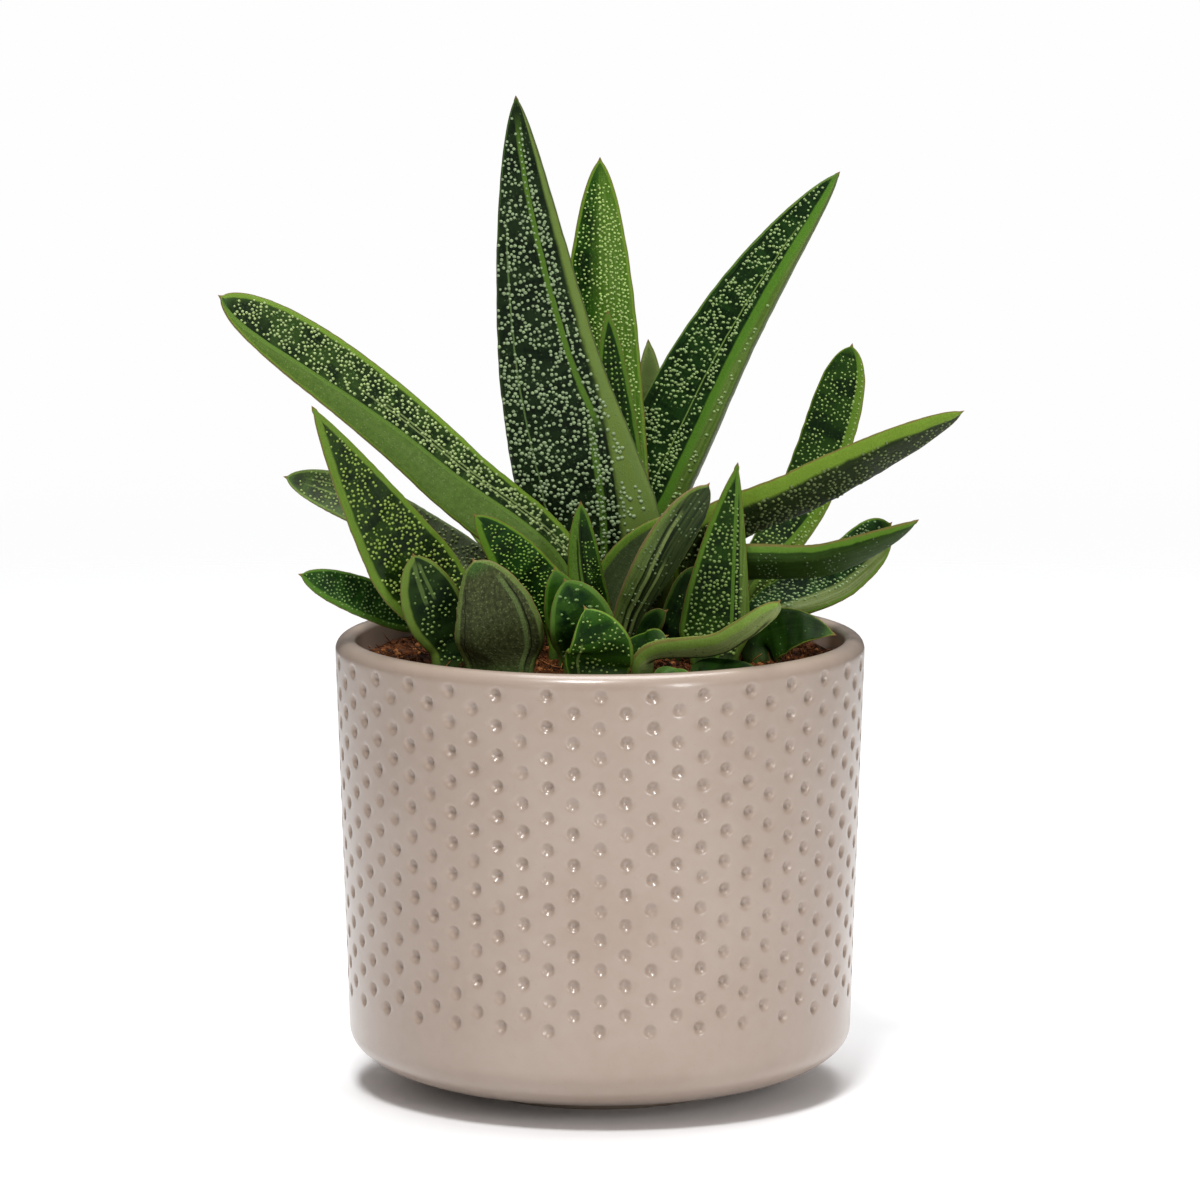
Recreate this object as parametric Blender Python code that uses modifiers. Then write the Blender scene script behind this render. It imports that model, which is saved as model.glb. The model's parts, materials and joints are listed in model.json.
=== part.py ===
"""A warty gasteria: several rosettes of thick keeled leaves in a dimpled ceramic pot.

Metres, +Z up. The origin is the centre of the pot's foot, on the surface it stands on.
The front is -Y, and +X is to the right when the pot is seen from the front.
"""
import math

import bmesh
import bpy
from mathutils import Vector, noise

MM = 0.001
TOUCH = 0.1 * MM
MERGE = 0.01 * MM

# Pot: a slightly tapered cylinder with a rounded lip, a wide soft lower corner and a low flat foot
POT_HEIGHT = 120.8 * MM
RIM_RADIUS = 70.0 * MM
BASE_RADIUS = 66.7 * MM
WALL = 5.4 * MM
FLOOR = 7.0 * MM
LIP_OUTER = 3.4 * MM
LIP_INNER = 1.8 * MM
CORNER_ACROSS = 31.0 * MM
CORNER_UP = 13.6 * MM
FOOT_RADIUS = 34.6 * MM
FOOT_HEIGHT = 3.0 * MM
INNER_ROUND = 12.0 * MM

# Dimples: staggered columns round the wall, each column offset by half a pitch from the next
DIMPLE_COLUMNS = 64
DIMPLE_ROWS = 23
DIMPLE_TOP = 115.4 * MM
DIMPLE_BOTTOM = 27.8 * MM
DIMPLE_RADIUS = 1.65 * MM
DIMPLE_DEPTH = 0.7 * MM
DIMPLE_LARGEST = 3.0
POT_SHARP = 40.0

# Soil: coarse fibre, a little below the rim, heaped slightly in the middle
SEAT_GAP = 0.3 * MM
SOIL_DROP = 6.6 * MM
SOIL_HEAP = 2.6 * MM
SOIL_LUMP = 1.1 * MM
SOIL_LUMP_SIZE = 11.0 * MM
SOIL_LUMP_SLICE = 0.4
SOIL_SIDES = 24
SOIL_RINGS = (14.0 * MM, 28.0 * MM, 40.0 * MM, 51.0 * MM)
HOLE_DEPTH = 7.0 * MM
HOLE_GAP = 0.5 * MM
HOLE_SIDES = 6

# Leaves: a keeled section of eight corners, carried along a curve from the soil to the tip
LONG_LEAF = 60.0 * MM
LONG_STATIONS = (0.0, 0.06, 0.14, 0.25, 0.38, 0.52, 0.66, 0.79, 0.9, 0.97)
SHORT_STATIONS = (0.0, 0.12, 0.28, 0.48, 0.68, 0.85, 0.96)
NECK_RISE = 0.8 * MM
FACE_SWELL = 0.8
THINNER_AT_TIP = 0.5
TIP_BLUNT = 6
TIP_ROUND = 0.6
LEAF_SHARP = 60.0

# Each leaf, in millimetres and degrees.
# foot: where it stands in the soil (x, y).  middle, tip: points its centreline passes (x, y, z).
# rise: how far it goes straight up first.  width: at its widest, at the share "widest" of its length.
# taper, round: outline towards the tip.  back, front: height of the keel behind and of the face.
# keel, crest: where those ridges run, at the foot and at the tip, from -1 left margin to 1 right margin,
# seen on the face.
# face: where the dark face looks (turn from the front towards the right, lift).  twist: from foot to tip.
# neck: width and thickness in the soil.
LEAVES = {
    "leaf_centre_tall": dict(
        foot=(0, 6), middle=(-14, 4, 196), tip=(-22, -4, 264), rise=12, width=42, widest=0.1,
        taper=1.0, round=0.66, back=8, front=3.2, keel=(0.75, 0.6), crest=(0.4, 0.85),
        face=(-14, 6), twist=0, neck=(18, 8)),
    "leaf_centre_behind": dict(
        foot=(3, 26), middle=(0.5, 26, 186), tip=(0, 18, 246), rise=12, width=22.5, widest=0.3,
        taper=2.2, round=0.62, back=5, front=1.0, keel=(0.2, 0.2), crest=(0.1, 0.1),
        face=(0, 4), twist=0, neck=(15, 7)),
    "leaf_centre_inner": dict(
        foot=(8, 16), middle=(5, 16, 164), tip=(2, 11, 206), rise=8, width=15, widest=0.25,
        taper=1.6, round=0.6, back=4, front=0.6, keel=(0.2, 0.2), crest=(0.1, 0.1),
        face=(6, 4), twist=0, neck=(10, 5)),
    "leaf_right_tall": dict(
        foot=(5, 34), middle=(22.5, 33, 178), tip=(64, 31, 241), rise=12, width=24, widest=0.3,
        taper=1.7, round=0.66, back=6.5, front=2.6, keel=(0.85, 0.85), crest=(0.62, 0.7),
        face=(-22, 10), twist=-6, neck=(15, 7)),
    "leaf_back_upright": dict(
        foot=(8, 46), middle=(13, 48, 162), tip=(13, 50, 194), rise=8, width=14, widest=0.3,
        taper=1.8, round=0.6, back=4, front=0.6, keel=(0.1, 0.1), crest=(0, 0),
        face=(10, 6), twist=0, neck=(11, 5)),
    "leaf_left_long": dict(
        foot=(-7, -4), middle=(-40, -4, 165.3), tip=(-100, -8, 212), rise=10, width=19.2, widest=0.25,
        taper=7, round=0.6, back=5, front=3.2, keel=(-0.3, -0.9), crest=(0.45, -0.8),
        face=(0, 38), twist=0, neck=(12, 8)),
    "leaf_front_left_pointed": dict(
        foot=(-10, -17), middle=(-20, -22, 141), tip=(-33, -28, 157), rise=6, width=15, widest=0.4,
        taper=1.8, round=0.62, back=4, front=1.0, keel=(-0.4, -0.4), crest=(-0.6, -0.6),
        face=(-4, 20), twist=0, neck=(7, 4)),
    "leaf_front_small_upright": dict(
        foot=(-1, -13), middle=(-4, -16, 141), tip=(-5, -18, 159), rise=6, width=10, widest=0.35,
        taper=2, round=0.6, back=3, front=1.0, keel=(0, 0), crest=(-0.1, -0.1),
        face=(10, 8), twist=0, neck=(6, 3.5)),
    "leaf_centre_grey": dict(
        foot=(3, -5), middle=(10, -6, 140.5), tip=(26, -7, 154), rise=6, width=18, widest=0.4,
        taper=2.2, round=0.6, back=3.5, front=0.8, keel=(0, 0), crest=(0, 0),
        face=(170, 40), twist=0, neck=(6, 4)),
    "leaf_left_upright": dict(
        foot=(-36, -20), middle=(-51.3, -27, 146), tip=(-74.6, -34, 186), rise=4, width=23.2, widest=0.35,
        taper=1.15, round=0.8, back=6, front=0.8, keel=(-0.7, -0.7), crest=(0, 0),
        face=(10, 22), twist=0, neck=(13, 6)),
    "leaf_front_left_narrow": dict(
        foot=(-38.5, -27.5), middle=(-43, -32, 132), tip=(-48.5, -37, 148), rise=4, width=16, widest=0.45,
        taper=2.2, round=0.6, back=4, front=0.6, keel=(0, 0), crest=(0, 0),
        face=(4, 10), twist=0, neck=(11, 5)),
    "leaf_front_left_broad": dict(
        foot=(-26, -36), middle=(-26.5, -40, 131), tip=(-33, -43, 147.5), rise=4, width=23.5, widest=0.3,
        taper=1.6, round=0.48, back=5, front=0.6, keel=(0.5, 0.5), crest=(0, 0),
        face=(176, 30), twist=0, neck=(18, 5)),
    "leaf_left_far": dict(
        foot=(-23, -4), middle=(-50, 3, 148.5), tip=(-84, 8, 162), rise=8, width=14.5, widest=0.5,
        taper=4, round=0.6, back=4, front=0.6, keel=(0, 0), crest=(0, 0),
        face=(0, 40), twist=0, neck=(9, 5)),
    "leaf_left_low": dict(
        foot=(-36, -9), middle=(-55, -15, 130.3), tip=(-79, -20, 140), rise=5, width=11, widest=0.5,
        taper=3, round=0.6, back=4, front=0.6, keel=(0, 0), crest=(0, 0),
        face=(0, 25), twist=0, neck=(8, 5)),
    "leaf_front_hood_back": dict(
        foot=(-7, -27), middle=(-9, -33, 132), tip=(-12, -34, 144), rise=4, width=13, widest=0.4,
        taper=2, round=0.6, back=3, front=0.5, keel=(0, 0), crest=(0, 0),
        face=(20, 10), twist=0, neck=(8, 3.5)),
    "leaf_front_hood_middle": dict(
        foot=(-3.5, -37), middle=(-5, -42, 131), tip=(-9.4, -44, 142.5), rise=4, width=17.5, widest=0.4,
        taper=2.2, round=0.6, back=3.5, front=0.5, keel=(0, 0), crest=(0, 0),
        face=(4, 12), twist=0, neck=(12, 4)),
    "leaf_front_short": dict(
        foot=(-0.5, -47), middle=(0, -51, 125), tip=(-4.3, -50, 136.3), rise=3, width=17.8, widest=0.25,
        taper=2.0, round=0.65, back=3.5, front=0.6, keel=(0, 0), crest=(-0.3, -0.3),
        face=(2, 12), twist=0, neck=(16, 4)),
    "leaf_front_right_keeled": dict(
        foot=(6, -20), middle=(14, -28.5, 143), tip=(28.5, -34, 166), rise=6, width=12.5, widest=0.6,
        taper=3, round=0.6, back=4, front=0.6, keel=(0.1, 0.2), crest=(0, 0),
        face=(190, 30), twist=0, neck=(6, 4)),
    "leaf_right_upright": dict(
        foot=(30, -19), middle=(32, -20, 144.5), tip=(36, -20, 169.5), rise=6, width=19, widest=0.15,
        taper=1.25, round=0.8, back=5, front=1.4, keel=(0.4, 0.4), crest=(0.45, 0.45),
        face=(8, 6), twist=0, neck=(13, 5)),
    "leaf_right_long": dict(
        foot=(27.5, 0.5), middle=(54, -9, 161), tip=(95, -20, 183), rise=28, width=17, widest=0.32,
        taper=3, round=0.6, back=6, front=0.8, keel=(0.45, 0.5), crest=(0, 0),
        face=(160, 50), twist=0, neck=(7, 6)),
    "leaf_right_back": dict(
        foot=(38, 15), middle=(55.5, 20, 157), tip=(67.2, 22, 196), rise=6, width=14.4, widest=0.6,
        taper=4, round=0.6, back=4.5, front=1.2, keel=(0.5, 0.5), crest=(0.7, 0.75),
        face=(-10, 12), twist=0, neck=(10, 5.5)),
    "leaf_right_pointed": dict(
        foot=(29, -7), middle=(60, -15.5, 143.5), tip=(83, -28, 155.5), rise=20, width=12.5, widest=0.4,
        taper=2, round=0.7, back=5, front=0.6, keel=(0.55, 0.5), crest=(0, 0),
        face=(172, 35), twist=0, neck=(6, 5)),
    "leaf_right_broad": dict(
        foot=(41, 3), middle=(64, 0, 138), tip=(77, -5, 151.7), rise=5, width=17, widest=0.6,
        taper=4, round=0.6, back=5, front=1.8, keel=(-0.5, -0.5), crest=(0.3, 0.5),
        face=(-10, 45), twist=0, neck=(10, 5)),
    "leaf_right_curved": dict(
        foot=(11, -37), middle=(33, -44, 127), tip=(46.5, -52, 138), rise=2, width=9, widest=0.5,
        taper=6, round=0.6, back=5, front=0.8, keel=(-0.15, -0.1), crest=(0, 0),
        face=(180, 60), twist=0, neck=(6, 5)),
    "leaf_right_low": dict(
        foot=(42, -13), middle=(48, -17, 124.5), tip=(62, -22, 124), rise=4, width=15, widest=0.25,
        taper=1.3, round=0.7, back=3, front=0.5, keel=(0, 0), crest=(0, 0),
        face=(5, 25), twist=0, neck=(9, 4)),
    "leaf_front_right_flat": dict(
        foot=(26, -43), middle=(32, -45, 118.5), tip=(42, -48, 118.5), rise=1.5, width=9, widest=0.4,
        taper=2, round=0.7, back=2.5, front=0.5, keel=(0, 0), crest=(0, 0),
        face=(0, 60), twist=0, neck=(5, 3.5)),
    "leaf_front_right_tiny": dict(
        foot=(8, -28), middle=(13, -30.5, 123.5), tip=(18, -31, 125.5), rise=3, width=7.5, widest=0.5,
        taper=4, round=0.5, back=3, front=0.5, keel=(0, 0), crest=(0, 0),
        face=(20, 40), twist=0, neck=(4.5, 3.5)),
    "leaf_inner_dark": dict(
        foot=(19, -13), middle=(23, -14, 132), tip=(26, -13, 142), rise=4, width=11, widest=0.5,
        taper=3, round=0.6, back=3, front=0.5, keel=(0, 0), crest=(0, 0),
        face=(-10, 20), twist=0, neck=(5, 3.5)),
    "leaf_inner_small": dict(
        foot=(11, -12), middle=(13, -14, 125), tip=(18, -16, 130), rise=3, width=7, widest=0.5,
        taper=2.4, round=0.6, back=2.5, front=0.5, keel=(0, 0), crest=(0, 0),
        face=(-10, 30), twist=0, neck=(4.5, 3.5)),
    "leaf_front_right_sprout": dict(
        foot=(16, -46), middle=(19, -49, 117.5), tip=(24, -52, 118), rise=1.5, width=6, widest=0.5,
        taper=2.4, round=0.6, back=2, front=0.4, keel=(0, 0), crest=(0, 0),
        face=(0, 50), twist=0, neck=(4, 3)),
    "leaf_rear_left": dict(
        foot=(-13, 30), middle=(-24, 44, 140), tip=(-38, 62, 150), rise=3, width=17, widest=0.5,
        taper=3, round=0.65, back=5, front=0.8, keel=(0, 0), crest=(0, 0),
        face=(0, 50), twist=0, neck=(14, 6.5)),
    "leaf_rear_centre": dict(
        foot=(-3, 52), middle=(0, 63, 150), tip=(4, 78, 172), rise=5, width=18, widest=0.4,
        taper=2.4, round=0.65, back=6, front=0.8, keel=(0.3, 0.3), crest=(0, 0),
        face=(4, 40), twist=0, neck=(15, 7)),
    "leaf_rear_right": dict(
        foot=(24, 42), middle=(29, 54, 137), tip=(37, 66, 146), rise=3, width=15, widest=0.5,
        taper=3, round=0.65, back=5, front=0.8, keel=(-0.3, -0.3), crest=(0, 0),
        face=(-10, 45), twist=0, neck=(12, 6)),
    "leaf_rear_low_left": dict(
        foot=(-32, 22), middle=(-43, 36, 127), tip=(-57, 48, 131), rise=2.5, width=12, widest=0.5,
        taper=4, round=0.6, back=4, front=0.6, keel=(0, 0), crest=(0, 0),
        face=(0, 60), twist=0, neck=(10, 5.5)),
    "leaf_rear_low_right": dict(
        foot=(44, 24), middle=(51, 34, 124), tip=(59, 46, 129), rise=2, width=11, widest=0.5,
        taper=3, round=0.6, back=4, front=0.6, keel=(0, 0), crest=(0, 0),
        face=(0, 60), twist=0, neck=(9, 5)),
}

# Finishes: colour and roughness
POT_GLAZE = ((0.42, 0.34, 0.28), 0.35)
SOIL_FIBRE = ((0.12, 0.055, 0.03), 0.95)
LEAF_SKIN = ((0.05, 0.11, 0.03), 0.4)


def clear_scene():
    for item in list(bpy.data.objects):
        bpy.data.objects.remove(item, do_unlink=True)


def new_collection(name):
    collection = bpy.data.collections.new(name)
    bpy.context.scene.collection.children.link(collection)
    return collection


def make_material(name, colour, roughness):
    material = bpy.data.materials.new(name)
    material.use_nodes = True
    shader = material.node_tree.nodes["Principled BSDF"]
    shader.inputs["Base Color"].default_value = (*colour, 1.0)
    shader.inputs["Roughness"].default_value = roughness
    shader.inputs["Metallic"].default_value = 0.0
    return material


def add_object(name, mesh, collection, material):
    item = bpy.data.objects.new(name, mesh)
    collection.objects.link(item)
    item.data.materials.append(material)
    return item


def arc(centre_r, centre_z, across, up, start, end, steps):
    """Points of a quarter ellipse in the profile plane, angles in degrees from +X."""
    points = []
    for i in range(steps + 1):
        angle = math.radians(start + (end - start) * i / steps)
        points.append((centre_r + across * math.cos(angle), centre_z + up * math.sin(angle)))
    return points


def wall_radius(z):
    """Outer radius of the tapered wall at height z."""
    low = FOOT_HEIGHT + CORNER_UP
    high = POT_HEIGHT - LIP_OUTER
    return BASE_RADIUS + (RIM_RADIUS - BASE_RADIUS) * (z - low) / (high - low)


def dimple_heights():
    """Heights of the dimple rows, top first."""
    pitch = (DIMPLE_TOP - DIMPLE_BOTTOM) / (DIMPLE_ROWS - 1)
    return [DIMPLE_TOP - pitch * j for j in range(DIMPLE_ROWS)]


def pot_profile():
    """Outer side from the lip down to the foot, the underside, and the inside up to the lip again."""
    rows = dimple_heights()
    below = rows[-1] - (rows[0] - rows[1])
    points = arc(RIM_RADIUS - LIP_OUTER, POT_HEIGHT - LIP_OUTER, LIP_OUTER, LIP_OUTER, 90, 0, 3)
    points += [(wall_radius(z), z) for z in rows + [below]]
    points += arc(BASE_RADIUS - CORNER_ACROSS, FOOT_HEIGHT + CORNER_UP, CORNER_ACROSS, CORNER_UP,
                  0, -90, 5)
    points += [(FOOT_RADIUS, 0.0), (0.0, 0.0)]
    return points


def pot_inside():
    """Inside of the pot, from the centre of its floor up to the lip."""
    inner_low = BASE_RADIUS - WALL
    points = [(0.0, FLOOR)]
    points += arc(inner_low - INNER_ROUND, FLOOR + INNER_ROUND, INNER_ROUND, INNER_ROUND, -90, 0, 2)
    points += arc(RIM_RADIUS - WALL + LIP_INNER, POT_HEIGHT - LIP_INNER, LIP_INNER, LIP_INNER,
                  180, 90, 2)
    return points


def turned_mesh(name, points, sides):
    """Turn a profile of (radius, height) points about +Z with a Screw modifier."""
    profile = bpy.data.meshes.new(name + "_profile")
    profile.from_pydata([(r, 0.0, z) for r, z in points], [(i, i + 1) for i in range(len(points) - 1)], [])
    holder = bpy.data.objects.new(name + "_profile", profile)
    bpy.context.scene.collection.objects.link(holder)
    screw = holder.modifiers.new("turn", "SCREW")
    screw.axis = "Z"
    screw.steps = sides
    screw.render_steps = sides
    screw.use_merge_vertices = True
    screw.merge_threshold = MERGE
    graph = bpy.context.evaluated_depsgraph_get()
    mesh = bpy.data.meshes.new_from_object(holder.evaluated_get(graph))
    bpy.data.objects.remove(holder, do_unlink=True)
    mesh.name = name
    return mesh


def press_dimples(mesh):
    """Bevel every second corner of the wall's grid into a small face, and push its middle inwards."""
    body = bmesh.new()
    body.from_mesh(mesh)
    rows = dimple_heights()
    column_turn = 2 * math.pi / DIMPLE_COLUMNS
    picked = []
    for vertex in body.verts:
        radius = math.hypot(vertex.co.x, vertex.co.y)
        for j, z in enumerate(rows):
            if abs(vertex.co.z - z) < TOUCH and abs(radius - wall_radius(z)) < TOUCH:
                column = round(math.atan2(vertex.co.y, vertex.co.x) / column_turn)
                if (column + j) % 2 == 0:
                    picked.append(vertex)
    made = bmesh.ops.bevel(body, geom=picked, offset=DIMPLE_RADIUS, segments=1, affect="VERTICES")
    small = [face for face in made["faces"] if len(face.verts) == 4
             and face.calc_area() < DIMPLE_LARGEST * DIMPLE_RADIUS ** 2]
    poked = bmesh.ops.poke(body, faces=small)
    for vertex in poked["verts"]:
        radius = math.hypot(vertex.co.x, vertex.co.y)
        scale = (radius - DIMPLE_DEPTH) / radius
        vertex.co.x *= scale
        vertex.co.y *= scale
    body.normal_update()
    body.to_mesh(mesh)
    body.free()


def build_pot(collection):
    points = pot_profile() + pot_inside()
    points.append(points[0])
    mesh = turned_mesh("pot", points, DIMPLE_COLUMNS)
    press_dimples(mesh)
    mesh.shade_smooth()
    mesh.set_sharp_from_angle(angle=math.radians(POT_SHARP))
    return add_object("pot", mesh, collection, make_material("pot_glaze", *POT_GLAZE))


def soil_height(x, y):
    """Top of the soil: heaped towards the middle, with soft lumps."""
    share = min(1.0, math.hypot(x, y) / (RIM_RADIUS - WALL))
    lump = noise.noise(Vector((x / SOIL_LUMP_SIZE, y / SOIL_LUMP_SIZE, SOIL_LUMP_SLICE)))
    return POT_HEIGHT - SOIL_DROP + SOIL_HEAP * (1 - share * share) + SOIL_LUMP * lump


def hole_cutter(name, leaf, collection):
    """A plain prism round the leaf's neck, standing in the soil."""
    x, y = (v * MM for v in leaf["foot"])
    width, thick = (v * MM for v in leaf["neck"])
    top = soil_height(x, y)
    bpy.ops.mesh.primitive_cylinder_add(vertices=HOLE_SIDES, radius=1.0, depth=2 * HOLE_DEPTH,
                                        location=(x, y, top))
    cutter = bpy.context.object
    cutter.name = "cut_" + name
    fit = 1 / math.cos(math.pi / HOLE_SIDES)
    side = face_direction(leaf, 0.0)
    turn = math.atan2(side.x, -side.y)
    cutter.rotation_euler = (0, 0, turn)
    cutter.scale = ((width / 2 + HOLE_GAP) * fit, (thick / 2 + HOLE_GAP) * fit, 1.0)
    for owner in list(cutter.users_collection):
        owner.objects.unlink(cutter)
    collection.objects.link(cutter)
    cutter.hide_render = True
    cutter.display_type = "WIRE"
    return cutter


def build_soil(collection, cutters):
    inner_low = BASE_RADIUS - WALL - SEAT_GAP
    inner_top = RIM_RADIUS - WALL - SEAT_GAP
    edge = POT_HEIGHT - SOIL_DROP
    edge_radius = inner_low + (inner_top - inner_low) * (edge - FLOOR) / (POT_HEIGHT - FLOOR)
    edge_radius -= SEAT_GAP
    points = [(0.0, edge)] + [(r, edge) for r in SOIL_RINGS] + [(edge_radius, edge)]
    points += arc(inner_low - INNER_ROUND, FLOOR + INNER_ROUND + SEAT_GAP, INNER_ROUND, INNER_ROUND,
                  0, -90, 2)
    points += [(0.0, FLOOR + SEAT_GAP)]
    mesh = turned_mesh("soil", points, SOIL_SIDES)
    for vertex in mesh.vertices:
        if vertex.co.z > edge - TOUCH:
            vertex.co.z = soil_height(vertex.co.x, vertex.co.y)
    soil = add_object("soil", mesh, collection, make_material("soil_fibre", *SOIL_FIBRE))
    cut = soil.modifiers.new("holes", "BOOLEAN")
    cut.operation = "DIFFERENCE"
    cut.operand_type = "COLLECTION"
    cut.collection = cutters
    cut.solver = "EXACT"
    return soil


def face_direction(leaf, share):
    """Where the leaf's dark face looks at a share of its length."""
    turn, lift = leaf["face"]
    turn = math.radians(turn + leaf["twist"] * share)
    lift = math.radians(lift)
    return Vector((math.sin(turn) * math.cos(lift), -math.cos(turn) * math.cos(lift), math.sin(lift)))


def leaf_path(leaf):
    """Points that the centreline passes, each with its share of the length, and the neck's lowest point."""
    x, y = (v * MM for v in leaf["foot"])
    start = Vector((x, y, soil_height(x, y) + NECK_RISE))
    points = [start, start + Vector((0, 0, leaf["rise"] * MM)), Vector(leaf["middle"]) * MM,
              Vector(leaf["tip"]) * MM]
    shares = [0.0]
    for near, far in zip(points, points[1:]):
        shares.append(shares[-1] + (far - near).length)
    shares = [share / shares[-1] for share in shares]
    bottom = start - Vector((0, 0, NECK_RISE + HOLE_DEPTH - SEAT_GAP))
    return points, shares, bottom


def along_path(points, shares, t):
    """Place and direction at share t of a smooth curve through the points."""
    spans = [far - near for near, far in zip(shares, shares[1:])]
    slopes = [(far - near) / span for near, far, span in zip(points, points[1:], spans)]
    tangents = []
    for i in range(1, len(points) - 1):
        before, after = spans[i - 1], spans[i]
        tangents.append((slopes[i - 1] * after + slopes[i] * before) / (before + after))
    tangents = [2 * slopes[0] - tangents[0]] + tangents + [2 * slopes[-1] - tangents[-1]]
    i = 0
    while i < len(spans) - 1 and t > shares[i + 1]:
        i += 1
    span = spans[i]
    u = (t - shares[i]) / span
    place = (points[i] * (1 + 2 * u) * (1 - u) ** 2 + tangents[i] * span * u * (1 - u) ** 2
             + points[i + 1] * u * u * (3 - 2 * u) + tangents[i + 1] * span * u * u * (u - 1))
    way = ((points[i + 1] - points[i]) * 6 * u * (1 - u) / span + tangents[i] * (1 - u) * (1 - 3 * u)
           + tangents[i + 1] * u * (3 * u - 2))
    return place, way.normalized()


def between(pair, share):
    return pair[0] + (pair[1] - pair[0]) * share


def smooth_step(value):
    value = min(1.0, max(0.0, value))
    return value * value * (3 - 2 * value)


def leaf_outline(leaf, t):
    """Width of the leaf and the height of its back and front ridges at t along the blade."""
    neck_width, neck_thick = leaf["neck"]
    open_share = smooth_step(t / leaf["widest"])
    if t < leaf["widest"]:
        shape = 1.0
    else:
        u = (t - leaf["widest"]) / (1 - leaf["widest"])
        shape = (1 - u ** leaf["taper"]) ** leaf["round"]
    width = (neck_width + (leaf["width"] - neck_width) * open_share) * shape
    thin = (1 - THINNER_AT_TIP * t) * (1 - t ** TIP_BLUNT) ** TIP_ROUND
    back = (neck_thick / 2 + (leaf["back"] - neck_thick / 2) * open_share) * thin
    front = (neck_thick / 2 + (leaf["front"] - neck_thick / 2) * open_share) * thin
    return width * MM, back * MM, front * MM, open_share


def section(width, back, front, keel, crest):
    """Eight corners of a keeled section, as (across, out of the face) pairs."""
    half = width / 2
    low = 0.5 ** FACE_SWELL
    pairs = [(-1.0, 0.0), ((crest - 1) / 2, front * low), (crest, front), ((crest + 1) / 2, front * low),
             (1.0, 0.0), ((keel + 1) / 2, -back * low), (keel, -back), ((keel - 1) / 2, -back * low)]
    return [(half * across, out) for across, out in pairs]


def build_leaf(name, leaf, collection, material):
    points, shares, bottom = leaf_path(leaf)
    length = (points[-1] - points[0]).length
    stations = LONG_STATIONS if length > LONG_LEAF else SHORT_STATIONS
    body = bmesh.new()
    rings = []
    for share in (None,) + stations:
        t = share or 0.0
        place, along = along_path(points, shares, t)
        if share is None:
            place = bottom
        if t == 0.0:
            along = Vector((0, 0, 1))
        look = face_direction(leaf, t)
        out = (look - along * look.dot(along)).normalized()
        across = along.cross(out)
        width, back, front, open_share = leaf_outline(leaf, t)
        keel, crest = (between(leaf[ridge], t) * open_share for ridge in ("keel", "crest"))
        corners = section(width, back, front, keel, crest)
        rings.append([body.verts.new(place + across * a + out * o) for a, o in corners])
    for lower, upper in zip(rings, rings[1:]):
        for i in range(len(lower)):
            j = (i + 1) % len(lower)
            body.faces.new((lower[i], upper[i], upper[j], lower[j]))
    tip = body.verts.new(points[-1])
    last = rings[-1]
    for i in range(len(last)):
        body.faces.new((last[i], tip, last[(i + 1) % len(last)]))
    body.faces.new(rings[0])
    bmesh.ops.recalc_face_normals(body, faces=body.faces)
    mesh = bpy.data.meshes.new(name)
    body.to_mesh(mesh)
    body.free()
    mesh.shade_smooth()
    mesh.set_sharp_from_angle(angle=math.radians(LEAF_SHARP))
    return add_object(name, mesh, collection, material)


def main():
    clear_scene()
    plant = new_collection("gasteria")
    cutters = new_collection("cutters")
    build_pot(plant)
    for name, leaf in LEAVES.items():
        hole_cutter(name, leaf, cutters)
    build_soil(plant, cutters)
    leaf_material = make_material("leaf_skin", *LEAF_SKIN)
    for name, leaf in LEAVES.items():
        build_leaf(name, leaf, plant, leaf_material)


main()
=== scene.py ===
import json
import math
import random

import bmesh
import bpy
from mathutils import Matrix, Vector, noise

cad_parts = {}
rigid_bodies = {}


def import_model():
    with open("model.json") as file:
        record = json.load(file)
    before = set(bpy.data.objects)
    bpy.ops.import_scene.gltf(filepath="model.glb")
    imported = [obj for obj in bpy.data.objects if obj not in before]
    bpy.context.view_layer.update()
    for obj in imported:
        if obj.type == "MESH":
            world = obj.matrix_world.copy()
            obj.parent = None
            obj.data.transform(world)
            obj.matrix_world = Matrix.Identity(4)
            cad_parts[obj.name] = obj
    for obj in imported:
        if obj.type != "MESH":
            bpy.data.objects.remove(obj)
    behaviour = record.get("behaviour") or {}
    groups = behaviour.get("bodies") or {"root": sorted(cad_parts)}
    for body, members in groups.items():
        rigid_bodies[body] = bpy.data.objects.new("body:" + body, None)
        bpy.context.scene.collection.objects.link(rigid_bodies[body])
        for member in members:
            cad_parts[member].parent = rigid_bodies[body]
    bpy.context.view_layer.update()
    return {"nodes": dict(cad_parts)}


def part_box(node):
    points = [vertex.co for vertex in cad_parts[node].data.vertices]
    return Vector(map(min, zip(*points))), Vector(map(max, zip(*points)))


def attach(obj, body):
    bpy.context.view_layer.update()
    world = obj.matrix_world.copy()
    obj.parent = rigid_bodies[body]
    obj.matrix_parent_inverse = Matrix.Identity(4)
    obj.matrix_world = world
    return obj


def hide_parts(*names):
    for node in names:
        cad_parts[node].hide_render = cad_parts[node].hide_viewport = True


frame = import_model()
mm = 0.001
scene = bpy.context.scene
print("frame loaded:", len(frame["nodes"]), "nodes")


# Helpers for objects and meshes

def newObject(name, data):
    item = bpy.data.objects.new(name, data)
    scene.collection.objects.link(item)
    return item


def removeObjects(items):
    for item in items:
        bpy.data.objects.remove(item, do_unlink=True)


def newMesh(name, vertices, faces):
    mesh = bpy.data.meshes.new(name)
    mesh.from_pydata(vertices, [], faces)
    return mesh


def addLayer(mesh, name, values, vectors=True):
    # one vector, or one number, for each vertex
    layer = mesh.attributes.new(name, "FLOAT_VECTOR" if vectors else "FLOAT", "POINT")
    if vectors:
        values = [number for vector in values for number in vector]
    layer.data.foreach_set("vector" if vectors else "value", values)


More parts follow.
